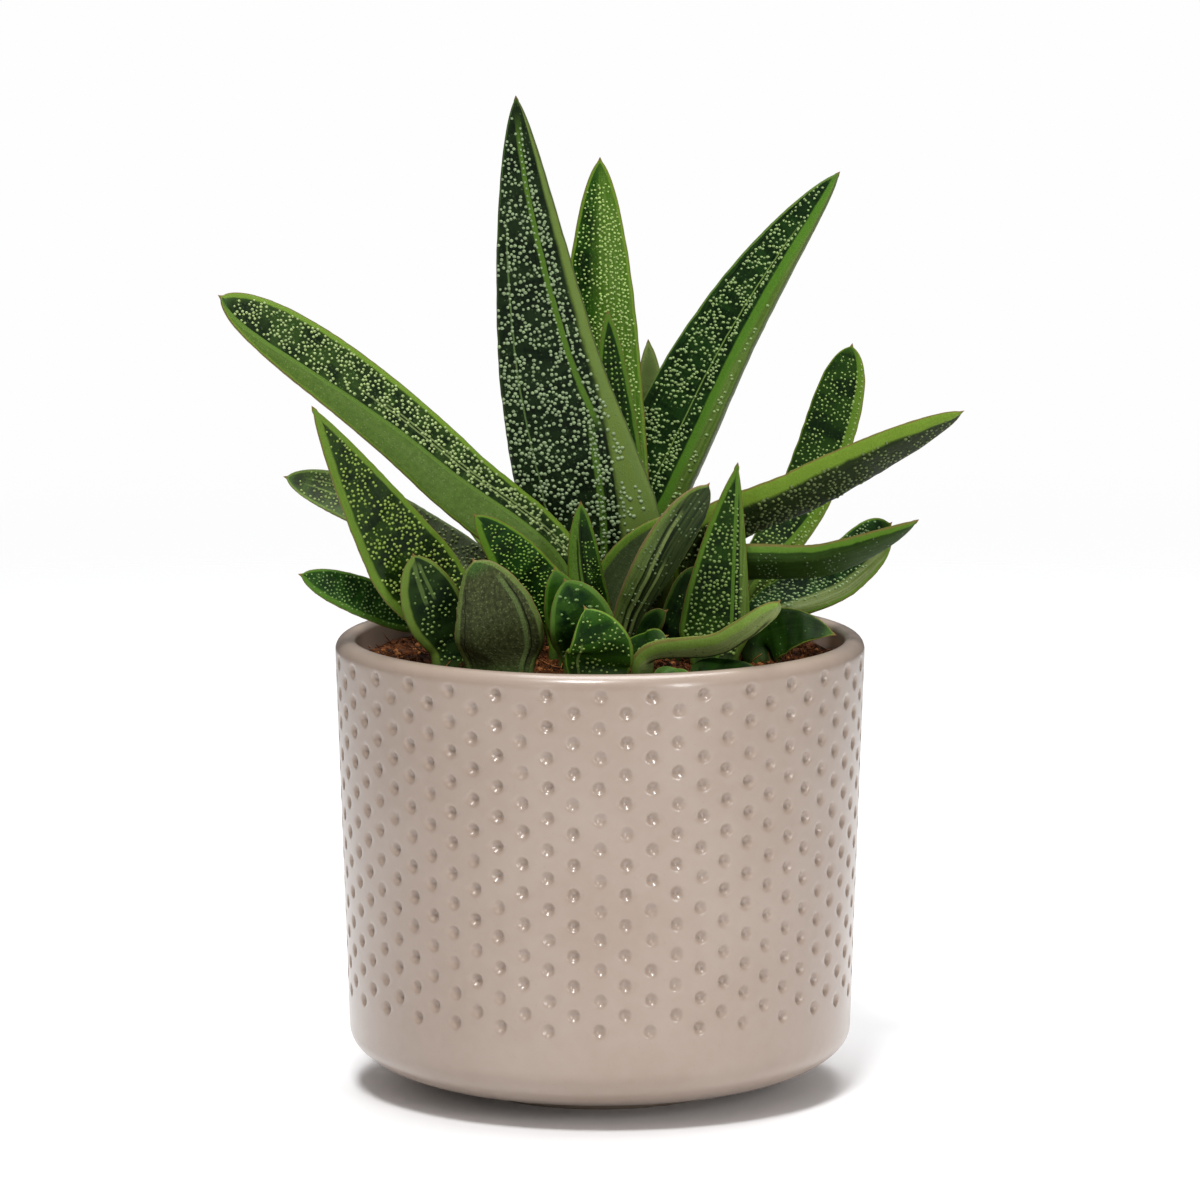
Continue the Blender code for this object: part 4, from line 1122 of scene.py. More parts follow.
looksOf = {
    "leaf_centre_tall": dict(
        dark=(8, 19, 7), mid=(25, 41, 18), bright=(97, 116, 49), pale=(92, 116, 66), dot=(84, 104, 66),
        margin=(66, 88, 46), rim=(84, 88, 54), crest=(84, 118, 38), back=(76, 94, 52),
        backPale=(110, 126, 76), wart=(142, 163, 118), marginWidth=(0.5, 0.2), tipBare=3, dotShare=0.6,
        glow=(0.16, 1.56, 0.8, 0.06), bandAlong=5.5, wartSize=1.02, wartSpacing=0.9, cover=0.78,
        backCover=0.5, marginClear=(0.5, 3.0), ridgeClear=0.4, clumps=1.0, clearLine=(0.97, 0.0, 0.9),
        lines=((0, -0.5, -0.75, 0.5, 0.12, 0.8, "pale"), (0, -0.08, 1.3, 2.0, 0.05, 0.42, "crest"),
               (0, 0.03, 1.41, 0.7, 0.05, 0.42, "groove"), (0, 0.13, 1.5, 0.7, 0.05, 0.42, "groove"),
               (0, 0.97, 0.0, 1.8, 0.42, 0.98, "crest"), (0, 1.02, 0.12, 0.6, 0.44, 0.96, "groove")),
        rows=((0, -0.08, 1.3, 0.05, 0.42, 1.5, 0.85), (0, 0.08, 1.45, 0.05, 0.42, 1.6, 0.9),
              (0, 1.06, 0.16, 0.45, 0.95, 1.5, 0.85), (0, 0.86, -0.04, 0.5, 0.92, 1.8, 0.7),
              (0, 1.25, 0.35, 0.55, 0.9, 1.7, 0.8))),
    "leaf_centre_behind": dict(
        dark=(5, 28, 4), mid=(32, 71, 10), bright=(65, 103, 17), dot=(112, 150, 56), margin=(104, 134, 42),
        rim=(128, 96, 60), tip=(48, 84, 22), wart=(172, 200, 112), marginWidth=(0.8, 0.8), tipBare=7,
        dotShare=0.8, dotPitch=0.75, glow=(0.05, -0.15, 1.0, 0.35), bandAcross=7.0, bandAlong=7.0,
        wartSize=0.72, wartSpacing=0.92, cover=0.8, clumps=0.3,
        rows=((0, 0.02, 0.0, 0.2, 0.94, 1.4, 0.75), (0, 0.2, 0.2, 0.2, 0.92, 1.5, 0.75),
              (0, 0.36, 0.4, 0.2, 0.9, 1.5, 0.7), (0, 0.52, 0.6, 0.15, 0.88, 1.5, 0.7),
              (0, 0.68, 0.76, 0.1, 0.84, 1.5, 0.7))),
    "leaf_centre_inner": dict(
        dark=(6, 23, 4), mid=(26, 57, 9), margin=(84, 118, 36), tip=(66, 104, 30), wart=(128, 158, 72),
        marginWidth=(1.1, 1.1), tipBare=4, wartSize=0.7, wartSpacing=1.4, cover=0.35,
        rows=((0, -0.5, -0.4, 0.3, 0.92, 1.5, 0.7), (0, -0.1, 0.0, 0.3, 0.92, 1.4, 0.75),
              (0, 0.25, 0.3, 0.2, 0.9, 1.5, 0.7), (0, 0.55, 0.6, 0.2, 0.85, 1.5, 0.7))),
    "leaf_right_tall": dict(
        dark=(7, 25, 8), mid=(24, 50, 16), bright=(74, 98, 36), dot=(72, 98, 48), margin=(88, 114, 48),
        rim=(84, 92, 52), crest=(76, 116, 34), back=(60, 78, 40), wart=(136, 162, 96),
        marginWidth=(0.7, 0.4), crestWidth=2.4, glow=(0.66, 0.74, 1.0, 0.06), wartSize=0.86,
        wartSpacing=0.84, cover=0.74, backCover=0.4, stretch=0.7, marginClear=(1.6, 1.0), ridgeClear=1.7,
        clumps=1.0,
        lines=((0, -0.76, -0.74, 0.4, 0.15, 0.95, "groove"), (0, 0.2, 0.25, 0.4, 0.1, 0.9, "pale")),
        rows=((0, -0.66, -0.62, 0.2, 0.95, 1.5, 0.7), (0, 0.32, 0.36, 0.1, 0.9, 1.5, 0.75))),
    "leaf_back_upright": dict(
        dark=(96, 116, 60), mid=(118, 136, 76), margin=(128, 146, 80), back=(104, 122, 68),
        wart=(140, 150, 92), wartSize=0.7, cover=0.25),
    "leaf_left_long": dict(
        dark=(10, 24, 8), mid=(40, 61, 22), pale=(112, 128, 76), margin=(98, 126, 42), rim=(112, 84, 50),
        crest=(86, 114, 44), tip=(52, 78, 36), back=(72, 92, 46), backPale=(106, 122, 74),
        bellyTone=(80, 106, 40), wart=(150, 170, 104), marginWidth=(0.5, 1.7), rimWidth=(0.15, 0.3),
        crestWidth=1.2, tipBare=5, crackle=0.9, dotShare=0.6, belly=(0.4, -0.85, 1.0, 0.05), bandAcross=9.0,
        bandAlong=6.0, wartSize=0.95, wartSpacing=0.84, cover=0.85, backCover=0.3, marginClear=(1.0, 1.6),
        ridgeClear=0.9, clumps=0.8, bare=(0.42, -0.83, 1.0),
        lines=((0, 0.62, -0.3, 0.5, 0.0, 0.7, "pale"), (0, 0.72, -0.2, 0.5, 0.0, 0.65, "pale"),
               (0, 0.5, -0.8, 0.35, 0.0, 0.8, "groove"))),
    "leaf_left_upright": dict(
        dark=(8, 23, 4), mid=(30, 52, 9), dot=(84, 110, 34), margin=(92, 120, 38), rim=(112, 92, 48),
        tip=(56, 80, 26), wart=(132, 156, 60), marginWidth=(2.0, 1.5), tipBare=4, bandAcross=8.0,
        bandAlong=6.0, wartSize=0.82, wartSpacing=0.88, cover=0.74, marginClear=(2.4, 1.6), clumps=0.9,
        lines=((0, -0.86, -0.8, 0.35, 0.0, 0.85, "groove"),)),
    "leaf_left_far": dict(
        dark=(11, 28, 7), mid=(52, 78, 20), margin=(100, 126, 48), foot=(118, 124, 102), back=(96, 102, 82),
        backPale=(120, 126, 104), wart=(146, 166, 90), marginWidth=(0.8, 1.0), footLength=100, crackle=1.4,
        wartSpacing=0.95, cover=0.7,
        lines=((0, -0.2, -0.1, 0.5, 0.5, 0.95, "pale"), (0, 0.3, 0.3, 0.4, 0.5, 0.95, "pale"))),
    "leaf_left_low": dict(
        dark=(9, 33, 8), mid=(28, 61, 15), margin=(70, 106, 32), tip=(62, 88, 30), mucro=(120, 84, 50),
        wart=(112, 142, 68), marginWidth=(1.5, 0.7), tipBare=2, dotShare=0.6, dotPitch=0.7, wartSize=0.6,
        wartSpacing=0.8, cover=0.85),
    "leaf_front_left_narrow": dict(
        dark=(10, 26, 9), mid=(34, 55, 20), pale=(84, 106, 54), margin=(98, 122, 48), tip=(70, 96, 36),
        wart=(112, 138, 66), marginWidth=(2.1, 1.0), tipBare=2, wartSize=0.8, cover=0.42,
        marginClear=(2.4, 1.2),
        lines=((0, -0.1, -0.2, 1.2, 0.6, 0.96, "pale"), (0, 0.25, 0.1, 0.9, 0.62, 0.94, "pale"))),
    "leaf_front_left_broad": dict(
        pale=(92, 110, 62), dot=(98, 106, 68), margin=(98, 116, 58), rim=(124, 98, 72), tip=(58, 88, 38),
        back=(38, 44, 22), backPale=(82, 90, 54), marginWidth=(1.2, 1.4), tipBare=5, streak=0.15,
        mottling=0.9, crackle=2.2, dotShare=1.0, backCover=0.0,
        lines=((1, -0.72, -0.7, 0.4, 0.0, 0.8, "groove"), (1, -0.62, -0.6, 1.2, 0.0, 0.85, "pale"),
               (1, 0.78, 0.7, 0.3, 0.0, 0.85, "groove"))),
    "leaf_front_left_pointed": dict(
        dark=(6, 28, 3), mid=(22, 59, 8), dot=(84, 124, 36), margin=(88, 124, 32), rim=(110, 84, 46),
        wart=(128, 166, 58), marginWidth=(1.9, 0.7), tipBare=3, dotShare=0.6, wartSize=0.62,
        wartSpacing=0.8, cover=0.85, stretch=0.7, marginClear=(2.0, 0.9)),
    "leaf_front_small_upright": dict(
        dark=(6, 25, 3), mid=(26, 55, 9), dot=(96, 132, 46), margin=(76, 112, 30), bellyTone=(80, 112, 36),
        wart=(120, 156, 60), marginWidth=(0.8, 0.8), streak=0.7, dotShare=0.6,
        belly=(-0.05, -0.25, 1.0, 0.12), wartSize=0.55, wartSpacing=0.75, cover=0.5, bare=(0.0, -0.2, 1.0),
        lines=((0, -0.35, -0.4, 0.5, 0.0, 0.8, "groove"), (0, 0.0, -0.2, 0.8, 0.35, 0.9, "groove")),
        rows=((0, 0.25, 0.15, 0.1, 0.75, 1.2, 0.6),)),
    "leaf_centre_grey": dict(
        dot=(94, 108, 70), margin=(92, 124, 38), tip=(72, 96, 46), back=(60, 74, 44), backPale=(84, 98, 60),
        marginWidth=(0.6, 1.7), streak=0.2, mottling=0.5, crackle=1.1, dotShare=0.7, dotPitch=0.6,
        backCover=0.0),
    "leaf_front_hood_back": dict(
        dark=(18, 52, 6), mid=(48, 88, 14), margin=(70, 108, 28), back=(40, 74, 20), backPale=(66, 100, 32),
        wart=(104, 138, 60), dotShare=0.0, cover=0.1, backCover=0.1),
    "leaf_front_hood_middle": dict(
        dark=(12, 38, 14), mid=(52, 88, 24), margin=(80, 114, 42), tip=(54, 88, 30), wart=(108, 140, 74),
        marginWidth=(1.3, 1.4), tipBare=3, dotShare=0.2, bandAcross=5.0, bandAlong=3.5, wartSpacing=1.3,
        cover=0.5, stretch=1.1),
    "leaf_front_short": dict(
        dark=(10, 34, 7), mid=(40, 76, 16), bright=(63, 101, 22), dot=(92, 124, 50), margin=(94, 130, 42),
        tip=(50, 86, 26), wart=(126, 152, 72), marginWidth=(0.6, 0.7), tipBare=3, dotShare=0.5,
        wartSize=0.68, cover=0.62,
        lines=((0, -0.62, -0.55, 0.7, 0.0, 0.6, "pale"),)),
    "leaf_front_right_keeled": dict(
        pale=(118, 134, 76), margin=(90, 112, 46), rim=(124, 98, 72), tip=(44, 62, 32), back=(72, 90, 42),
        backPale=(104, 122, 66), bellyTone=(24, 38, 18), wart=(92, 112, 66), marginWidth=(0.3, 0.8),
        rimWidth=(0.18, 0.3), tipBare=2, streak=0.6, mottling=0.15, crackle=1.0, dotShare=0.15,
        belly=(0.0, 0.9, 1.0, 0.1), wartSize=0.75, backCover=0.45,
        lines=((1, 0.3, 0.62, 0.5, 0.0, 0.9, "groove"), (1, 0.05, 0.5, 0.9, 0.0, 0.85, "pale"),
               (1, -0.15, 0.4, 0.8, 0.0, 0.8, "groove"), (1, -0.42, 0.05, 0.9, 0.0, 0.6, "pale"))),
    "leaf_right_upright": dict(
        dark=(9, 26, 6), mid=(30, 57, 11), bright=(74, 97, 31), dot=(76, 104, 42), margin=(80, 112, 34),
        rim=(118, 92, 52), crest=(76, 110, 34), tip=(54, 90, 24), wart=(118, 146, 70),
        marginWidth=(1.3, 0.5), crestWidth=1.0, tipBare=5, glow=(0.72, 0.66, 1.0, 0.05), wartSpacing=0.86,
        cover=0.85, marginClear=(1.5, 2.0), ridgeClear=0.5,
        lines=((0, 0.58, 0.56, 0.9, 0.05, 0.85, "groove"),),
        rows=((0, 0.58, 0.56, 0.08, 0.8, 1.4, 0.75),)),
    # leaf_right_long: the dark back and backPale tones on its downturned underside are partly its own dark
    # olive, partly painted shade
    "leaf_right_long": dict(
        dot=(60, 76, 34), margin=(104, 132, 42), rim=(104, 76, 44), tip=(44, 62, 22), mucro=(110, 70, 42),
        back=(22, 32, 10), backPale=(40, 52, 20), wart=(88, 104, 48), marginWidth=(0.2, 2.3),
        rimWidth=(0.35, 0.1), tipBare=4, streak=0.3, crackle=0.9, roughness=0.5, dotShare=0.4,
        wartSize=0.95, backCover=0.7, marginClear=(0.6, 2.2)),
    "leaf_right_back": dict(
        dark=(8, 27, 8), mid=(34, 61, 16), bright=(88, 113, 31), margin=(96, 126, 36), rim=(112, 92, 46),
        crest=(88, 120, 36), foot=(84, 100, 46), wart=(136, 164, 84), marginWidth=(0.4, 0.5),
        crestWidth=1.6, footLength=34, glow=(0.6, 0.7, 1.0, 0.08), wartSize=0.72, wartSpacing=0.9,
        cover=0.75, ridgeClear=0.8,
        rows=((0, 0.86, 0.86, 0.3, 0.95, 1.4, 0.65), (0, 0.6, 0.62, 0.2, 0.92, 1.3, 0.75))),
    # leaf_right_pointed: the dark back and backPale tones on its underside are partly its own dark green,
    # partly painted shade
    "leaf_right_pointed": dict(
        dot=(48, 72, 28), margin=(78, 112, 32), tip=(44, 76, 20), mucro=(118, 76, 44), back=(30, 48, 12),
        backPale=(42, 66, 18), wart=(54, 78, 34), marginWidth=(0.15, 0.9), roughness=0.45, dotShare=0.3,
        wartSize=0.7, backCover=0.4),
    "leaf_right_broad": dict(
        dark=(10, 30, 14), mid=(36, 65, 28), bright=(88, 103, 48), pale=(116, 128, 84),
        margin=(84, 116, 36), back=(84, 100, 60), backPale=(114, 126, 80), wart=(126, 154, 96),
        marginWidth=(0.8, 0.7), streak=0.8, glow=(0.28, 0.5, 1.0, 0.05), wartSize=0.7, wartSpacing=0.85,
        cover=0.8, stretch=1.1, marginClear=(0.9, 3.4),
        lines=((0, 0.34, 0.62, 0.4, 0.0, 0.8, "pale"), (0, 0.6, 0.8, 0.5, 0.0, 0.8, "pale"))),
    "leaf_right_curved": dict(
        dot=(60, 78, 36), margin=(112, 140, 58), tip=(88, 112, 42), mucro=(120, 80, 48),
        back=(100, 114, 62), backPale=(124, 136, 84), marginWidth=(0.4, 1.8), tipBare=2, streak=0.7,
        crackle=0.9, dotShare=0.2, backCover=0.0,
        lines=((1, -0.15, -0.3, 1.4, 0.1, 0.9, "groove"),)),
    "leaf_right_low": dict(
        dark=(9, 28, 2), mid=(24, 50, 7), margin=(104, 124, 44), marginWidth=(0.3, 0.3), dotShare=0.1,
        cover=0.0),
    "leaf_front_right_flat": dict(
        dark=(8, 28, 4), mid=(24, 52, 9), margin=(80, 106, 40), marginWidth=(0.3, 0.3), dotShare=0.0,
        cover=0.0),
    "leaf_front_right_tiny": dict(
        dark=(13, 39, 7), mid=(34, 69, 15), margin=(100, 126, 44), marginWidth=(0.5, 0.3), wartSize=0.55,
        cover=0.1),
    "leaf_inner_dark": dict(
        dark=(6, 20, 4), mid=(18, 40, 9), margin=(48, 68, 22), wartSize=0.6, cover=0.15),
    "leaf_inner_small": dict(
        dark=(7, 25, 5), mid=(22, 46, 10), margin=(48, 68, 22), wartSize=0.55, cover=0.1),
    "leaf_front_right_sprout": dict(
        dark=(26, 59, 18), mid=(66, 97, 36), margin=(96, 120, 60), marginWidth=(0.4, 0.4), dotShare=0.0,
        cover=0.0),
}

# How the zones of a leaf end. Pairs are where an effect begins and where it is full, times the width that
# the leaf's look gives it, or in millimetres or noise values. Wobbles are times the common wobble.
zones = dict(
    sideStep=40.0,                 # parts the noise of the back from that of the face
    middleEdge=(-0.05, 0.05), backEdge=(0.4, 0.6),
    wobbleScale=0.3, wobble=0.6, margin=(1.25, 0.85), verge=(1.8, 0.9), rim=(1.6, 0.5), crest=(0.6, 0.35),
    rimWobble=0.3, tipWobble=3.0, borderWobble=0.12, tipFull=0.3, mucro=(1.7, 0.6), bandWarp=0.6,
    bands=(0.38, 0.62), streakScale=(1.5, 0.035, 1.0), streaks=(0.35, 0.65), mottleScale=0.9,
    mottle=(0.3, 0.7), fineScale=3.2)
stripes = dict(wobbleScale=0.35, wobble=0.3, edge=(0.62, 0.32), startSoft=0.05, endSoft=0.08)
# the share that each effect has in the skin's colour, roughness and bump
skin = dict(
    bands=0.8, dots=0.65, dotsOffBand=0.25, verge=0.6, mottle=0.4, facetDots=0.4, backMottle=0.6,
    backDots=0.7, bellyStreaks=0.3, bellyDots=0.45, lines=0.8, streaks=0.025, dotRadius=0.36,
    mottleRoughness=0.12, fineBump=0.3, dotBump=0.3, grooveBump=0.8, bump=0.55, bumpHeight=0.0003,
    specular=0.08)
# zones laid over the skin, in this order, with the tone and the share of each; the plain tone of the Foot
# zone is painted shade at the leaf's base
overlays = (("Crest", "crest", 0.9), ("Tip", "tip", 0.8), ("Margin", "margin", 0.92),
            ("Foot", "foot", 0.7), ("Rim", "rim", 0.75), ("Mucro", "mucro", 0.7))
# which inputs of the two groups take the numbers of a leaf's look
zoneInputs = dict(
    marginWidth=("Margin left", "Margin right"), rimWidth=("Rim left", "Rim right"),
    crestWidth=("Crest width",), tipBare=("Tip bare",), footLength=("Foot length",),
    bandAcross=("Band across",), bandAlong=("Band along",),
    glow=("Glow foot", "Glow tip", "Glow limit", "Glow soft"),
    belly=("Belly foot", "Belly tip", "Belly limit", "Belly soft"))
wartInputs = dict(
    wartSpacing=("Spacing",), wartSize=("Size",), cover=("Cover",), backCover=("Back cover",),
    bandAcross=("Band across",), bandAlong=("Band along",), marginClear=("Clear left", "Clear right"),
    ridgeClear=("Ridge clear",), clumps=("Clumps",), clearLine=("Line foot", "Line tip", "Line clear"),
    bare=("Bare foot", "Bare tip", "Bare limit"), tipBare=("Tip bare",), stretch=("Stretch",))


def dealOut(look, inputs):
    values = {}
    for key, labels in inputs.items():
        values.update(zip(labels, look[key] if len(labels) > 1 else (look[key],)))
    return values


def makeLineGroup():
    # a stripe that keeps its share across the leaf; the share moves evenly from foot to tip
    tree, given, out = newGroup("ShaderNodeTree", "leafLine", {
        "Place": "Vector", "Edge": "Vector", "Length": 100.0, "Side": 0.0, "At foot": 0.0, "At tip": 0.0,
        "Width": 1.0, "From": 0.0, "To": 1.0}, dict(Mask="Float"))
    across, along, half = separate(given["Place"])
    side = separate(given["Edge"])[2]
    t = along / given["Length"]
    middle = blend(t, given["At foot"], given["At tip"])
    wobble = (grain(given["Place"], stripes["wobbleScale"], detail=1.0) - 0.5) * stripes["wobble"]
    away = abs((across - middle) * half + wobble)
    begin, full = stripes["edge"]
    stripe = rise(away, given["Width"] * begin, given["Width"] * full)
    starts = rise(t, given["From"] - stripes["startSoft"], given["From"])
    ends = rise(t, given["To"], given["To"] - stripes["endSoft"])
    feed(out["Mask"], stripe * (abs(side - given["Side"]) < 0.5) * (starts * ends))
    return tree


def makeZoneGroup():
    # where on a leaf a point lies: margin, thin rim, ridge stripe, back, tip, foot and the wavy bands
    masks = ("Margin", "Verge", "Rim", "Crest", "Back", "Tip", "Mucro", "Foot", "Bands", "Glow", "Belly",
             "Streaks", "Mottle", "Fine")
    tree, given, out = newGroup("ShaderNodeTree", "leafZones", {
        "Place": "Vector", "Edge": "Vector", "Length": 100.0, "Margin left": 1.0, "Margin right": 1.0,
        "Rim left": 0.2, "Rim right": 0.2, "Crest width": 0.0, "Tip bare": 5.0, "Foot length": 5.0,
        "Band across": 14.0, "Band along": 4.5, "Glow foot": 2.0, "Glow tip": 2.0, "Glow limit": 2.0,
        "Glow soft": 0.1, "Belly foot": -2.0, "Belly tip": -2.0, "Belly limit": 2.0, "Belly soft": 0.1,
        "Seed": 0.0}, dict(dict.fromkeys(masks, "Float"), Flat="Vector"))
    across, along, half = separate(given["Place"])
    margin, ridge, side = separate(given["Edge"])
    flat = combine(ridge, along, given["Seed"] + side * zones["sideStep"])
    wobble = (grain(flat, zones["wobbleScale"]) - 0.5) * zones["wobble"]
    onRight = rise(across, *zones["middleEdge"])
    width = blend(onRight, given["Margin left"], given["Margin right"])
    rim = blend(onRight, given["Rim left"], given["Rim right"])
    loose = margin + wobble
    thinWobble = wobble * zones["rimWobble"]
    back = rise(side, *zones["backEdge"])
    left = given["Length"] - along
    t = along / given["Length"]

    def widths(width, key):
        return [width * share for share in zones[key]]

    stretch = combine(1.0 / given["Band across"], 1.0 / given["Band along"], 1.0)
    banded = grain(vectorCalc("MULTIPLY", flat, stretch), 1.0, 2.0, 0.5, zones["bandWarp"])
    striped = grain(vectorCalc("MULTIPLY", flat, zones["streakScale"]), 1.0, 4.0, 0.6)
    found = {
        "Margin": rise(loose, *widths(width, "margin")),
        "Verge": rise(loose, width * zones["verge"][0] + zones["verge"][1], width),
        "Rim": rise(margin + thinWobble, *widths(rim, "rim")),
        "Crest": rise(abs(ridge + thinWobble), *widths(given["Crest width"], "crest")) * (1.0 - back),
        "Back": back,
        "Tip": rise(left + wobble * zones["tipWobble"], given["Tip bare"],
                    given["Tip bare"] * zones["tipFull"]),
        "Mucro": rise(left + abs(across * half), *zones["mucro"]),
        # the lowest footLength millimetres; their plain tone is painted shade at the leaf's base
        "Foot": rise(along, given["Foot length"], 0.0),
        "Bands": rise(banded, *zones["bands"]),
        "Streaks": rise(striped, *zones["streaks"]),
        "Mottle": rise(grain(flat, zones["mottleScale"], 4.0, 0.6), *zones["mottle"]),
        "Fine": grain(flat, zones["fineScale"], 3.0, 0.6),
        "Flat": flat}
    place = across + wobble * zones["borderWobble"]
    # Glow marks the facet that takes the bright tone, which is partly painted light
    for name, way in (("Glow", 1.0), ("Belly", -1.0)):
        border = calc("MINIMUM", blend(t, given[name + " foot"], given[name + " tip"]),
                      given[name + " limit"])
        found[name] = rise((place - border) * way, given[name + " soft"] * -1.0, given[name + " soft"])
    for name, value in found.items():
        feed(out[name], value)
    return tree


leafZones = makeZoneGroup()
leafLine = makeLineGroup()


def leafSkin(name, look, length, seed):
    material, tree, shader = newMaterial("skin_" + name)
    place, edge = (fromNode(tree, "ShaderNodeAttribute", pick="Vector", attribute_name=label)
                   for label in ("place", "edge"))
    zone = useGroup(tree, leafZones, dict(
        dealOut(look, zoneInputs), Place=place, Edge=edge, Length=length, Seed=float(seed)))
    dots = useGroup(tree, speckle, dict(Vector=zone["Flat"], Pitch=look["dotPitch"],
                                        Radius=skin["dotRadius"], Share=look["dotShare"]), "Mask")
    streaks, mottling = zone["Streaks"] * look["streak"], look["mottling"]
    offBand = skin["dotsOffBand"]
    shownDots = dots * ((zone["Bands"] * (1 - offBand) + offBand) * skin["dots"])
    face = layered(look["dark"], (zone["Bands"] * skin["bands"], look["mid"]), (shownDots, look["dot"]),
                   (zone["Verge"] * skin["verge"], look["mid"]),
                   (zone["Mottle"] * (mottling * skin["mottle"]), look["mid"]))
    # the facet's bright tone is partly its own green, partly painted light on the facet turned to the lamps;
    # its streaks and dots are its own
    facet = layered(look["bright"], (streaks, look["pale"]), (dots * skin["facetDots"], look["pale"]))
    behind = layered(look["back"], (streaks, look["backPale"]),
                     (zone["Mottle"] * (mottling * skin["backMottle"]), look["backPale"]),
                     (dots * skin["backDots"], look["dot"]))
    belly = layered(look["bellyTone"], (streaks * skin["bellyStreaks"], look["pale"]),
                    (zone["Mottle"] * mottling, look["mid"]), (dots * skin["bellyDots"], look["pale"]))
    colour = layered(face, (zone["Glow"], facet), (zone["Back"], behind), (zone["Belly"], belly))
    groove = None
    for side, foot, tip, width, start, stop, toneName in look["lines"]:
        mask = useGroup(tree, leafLine, {
            "Place": place, "Edge": edge, "Length": length, "Side": float(side), "At foot": foot,
            "At tip": tip, "Width": width, "From": start, "To": stop}, "Mask")
        colour = layered(colour, (mask * skin["lines"], look[toneName]))
        if toneName == "groove":
            groove = calc("MAXIMUM", groove, mask) if groove else mask
    # among the overlays, the plain foot tone is painted shade at the leaf's base
    colour = layered(colour, *[(zone[label] * share, look[key]) for label, key, share in overlays],
                     (zone["Streaks"] * skin["streaks"], look["pale"]))
    shade = (zone["Fine"] - 0.5) * look["crackle"]
    colour = fromNode(tree, "ShaderNodeHueSaturation", {"Value": shade + 1.0, "Color": colour})
    rough = zone["Mottle"] * skin["mottleRoughness"] + look["roughness"]
    height = zone["Fine"] * skin["fineBump"] + dots * skin["dotBump"]
    if groove:
        height = height - groove * skin["grooveBump"]
    finishWith(shader, colour, rough, height, skin["bump"], skin["bumpHeight"])
    shader["Specular IOR Level"].default_value = skin["specular"]
    return material


# Warts: beads set on the leaf by Geometry Nodes. Sizes of noise are in millimetres.
warts = dict(
    ringsOfBead=((0.5, -0.22), (0.46, 0.12), (0.27, 0.31)), beadTop=0.36, beadSides=8,
    densest=2.0e6, noiseRange=(0.3, 0.7), gapSize=(4.6, 2.3), gapWidth=0.028, footClear=1.5,
    sizeSpread=(0.78, 1.12), sizeAtFoot=1.15, sizeLoss=0.35, rowSpread=(0.85, 1.1),
    rowStep=(0.85, 1.2), rowWander=0.12, slopeStep=0.3)
wartLook = dict(deep=0.82, cloudSize=0.003, contrast=0.25, roughness=0.4, grainScale=2500.0, bump=0.2,
                bumpHeight=0.0001)     # sizes here are in metres
wartSkins = {}


def wartSkin(colour):
    if colour not in wartSkins:
        material, tree, shader = newMaterial("wart_%d_%d_%d" % colour)
        place = objectPlace(tree)
        cloud = useGroup(tree, mottle, {
            "Vector": place, "Size": wartLook["cloudSize"], "Contrast": wartLook["contrast"]}, "Value")
        deep = tuple(int(value * wartLook["deep"]) for value in colour)
        finishWith(shader, layered(deep, (cloud, colour)), wartLook["roughness"],
                   grain(place, wartLook["grainScale"]), wartLook["bump"], wartLook["bumpHeight"])
        wartSkins[colour] = material
    return wartSkins[colour]


def beadMesh():
    # a low round bead, 1 across, closed below
    sides, rings = warts["beadSides"], warts["ringsOfBead"]
    vertices = [(radius * c, radius * s, z) for radius, z in rings for c, s in circle(sides)]
    vertices.append((0, 0, warts["beadTop"]))
    pairs = [(i, (i + 1) % sides) for i in range(sides)]
    faces = bridgeRings(sides, len(rings), pairs, len(vertices) - 1) + [tuple(reversed(range(sides)))]
    mesh = newMesh("bead", vertices, faces)
    mesh.shade_smooth()
    return mesh


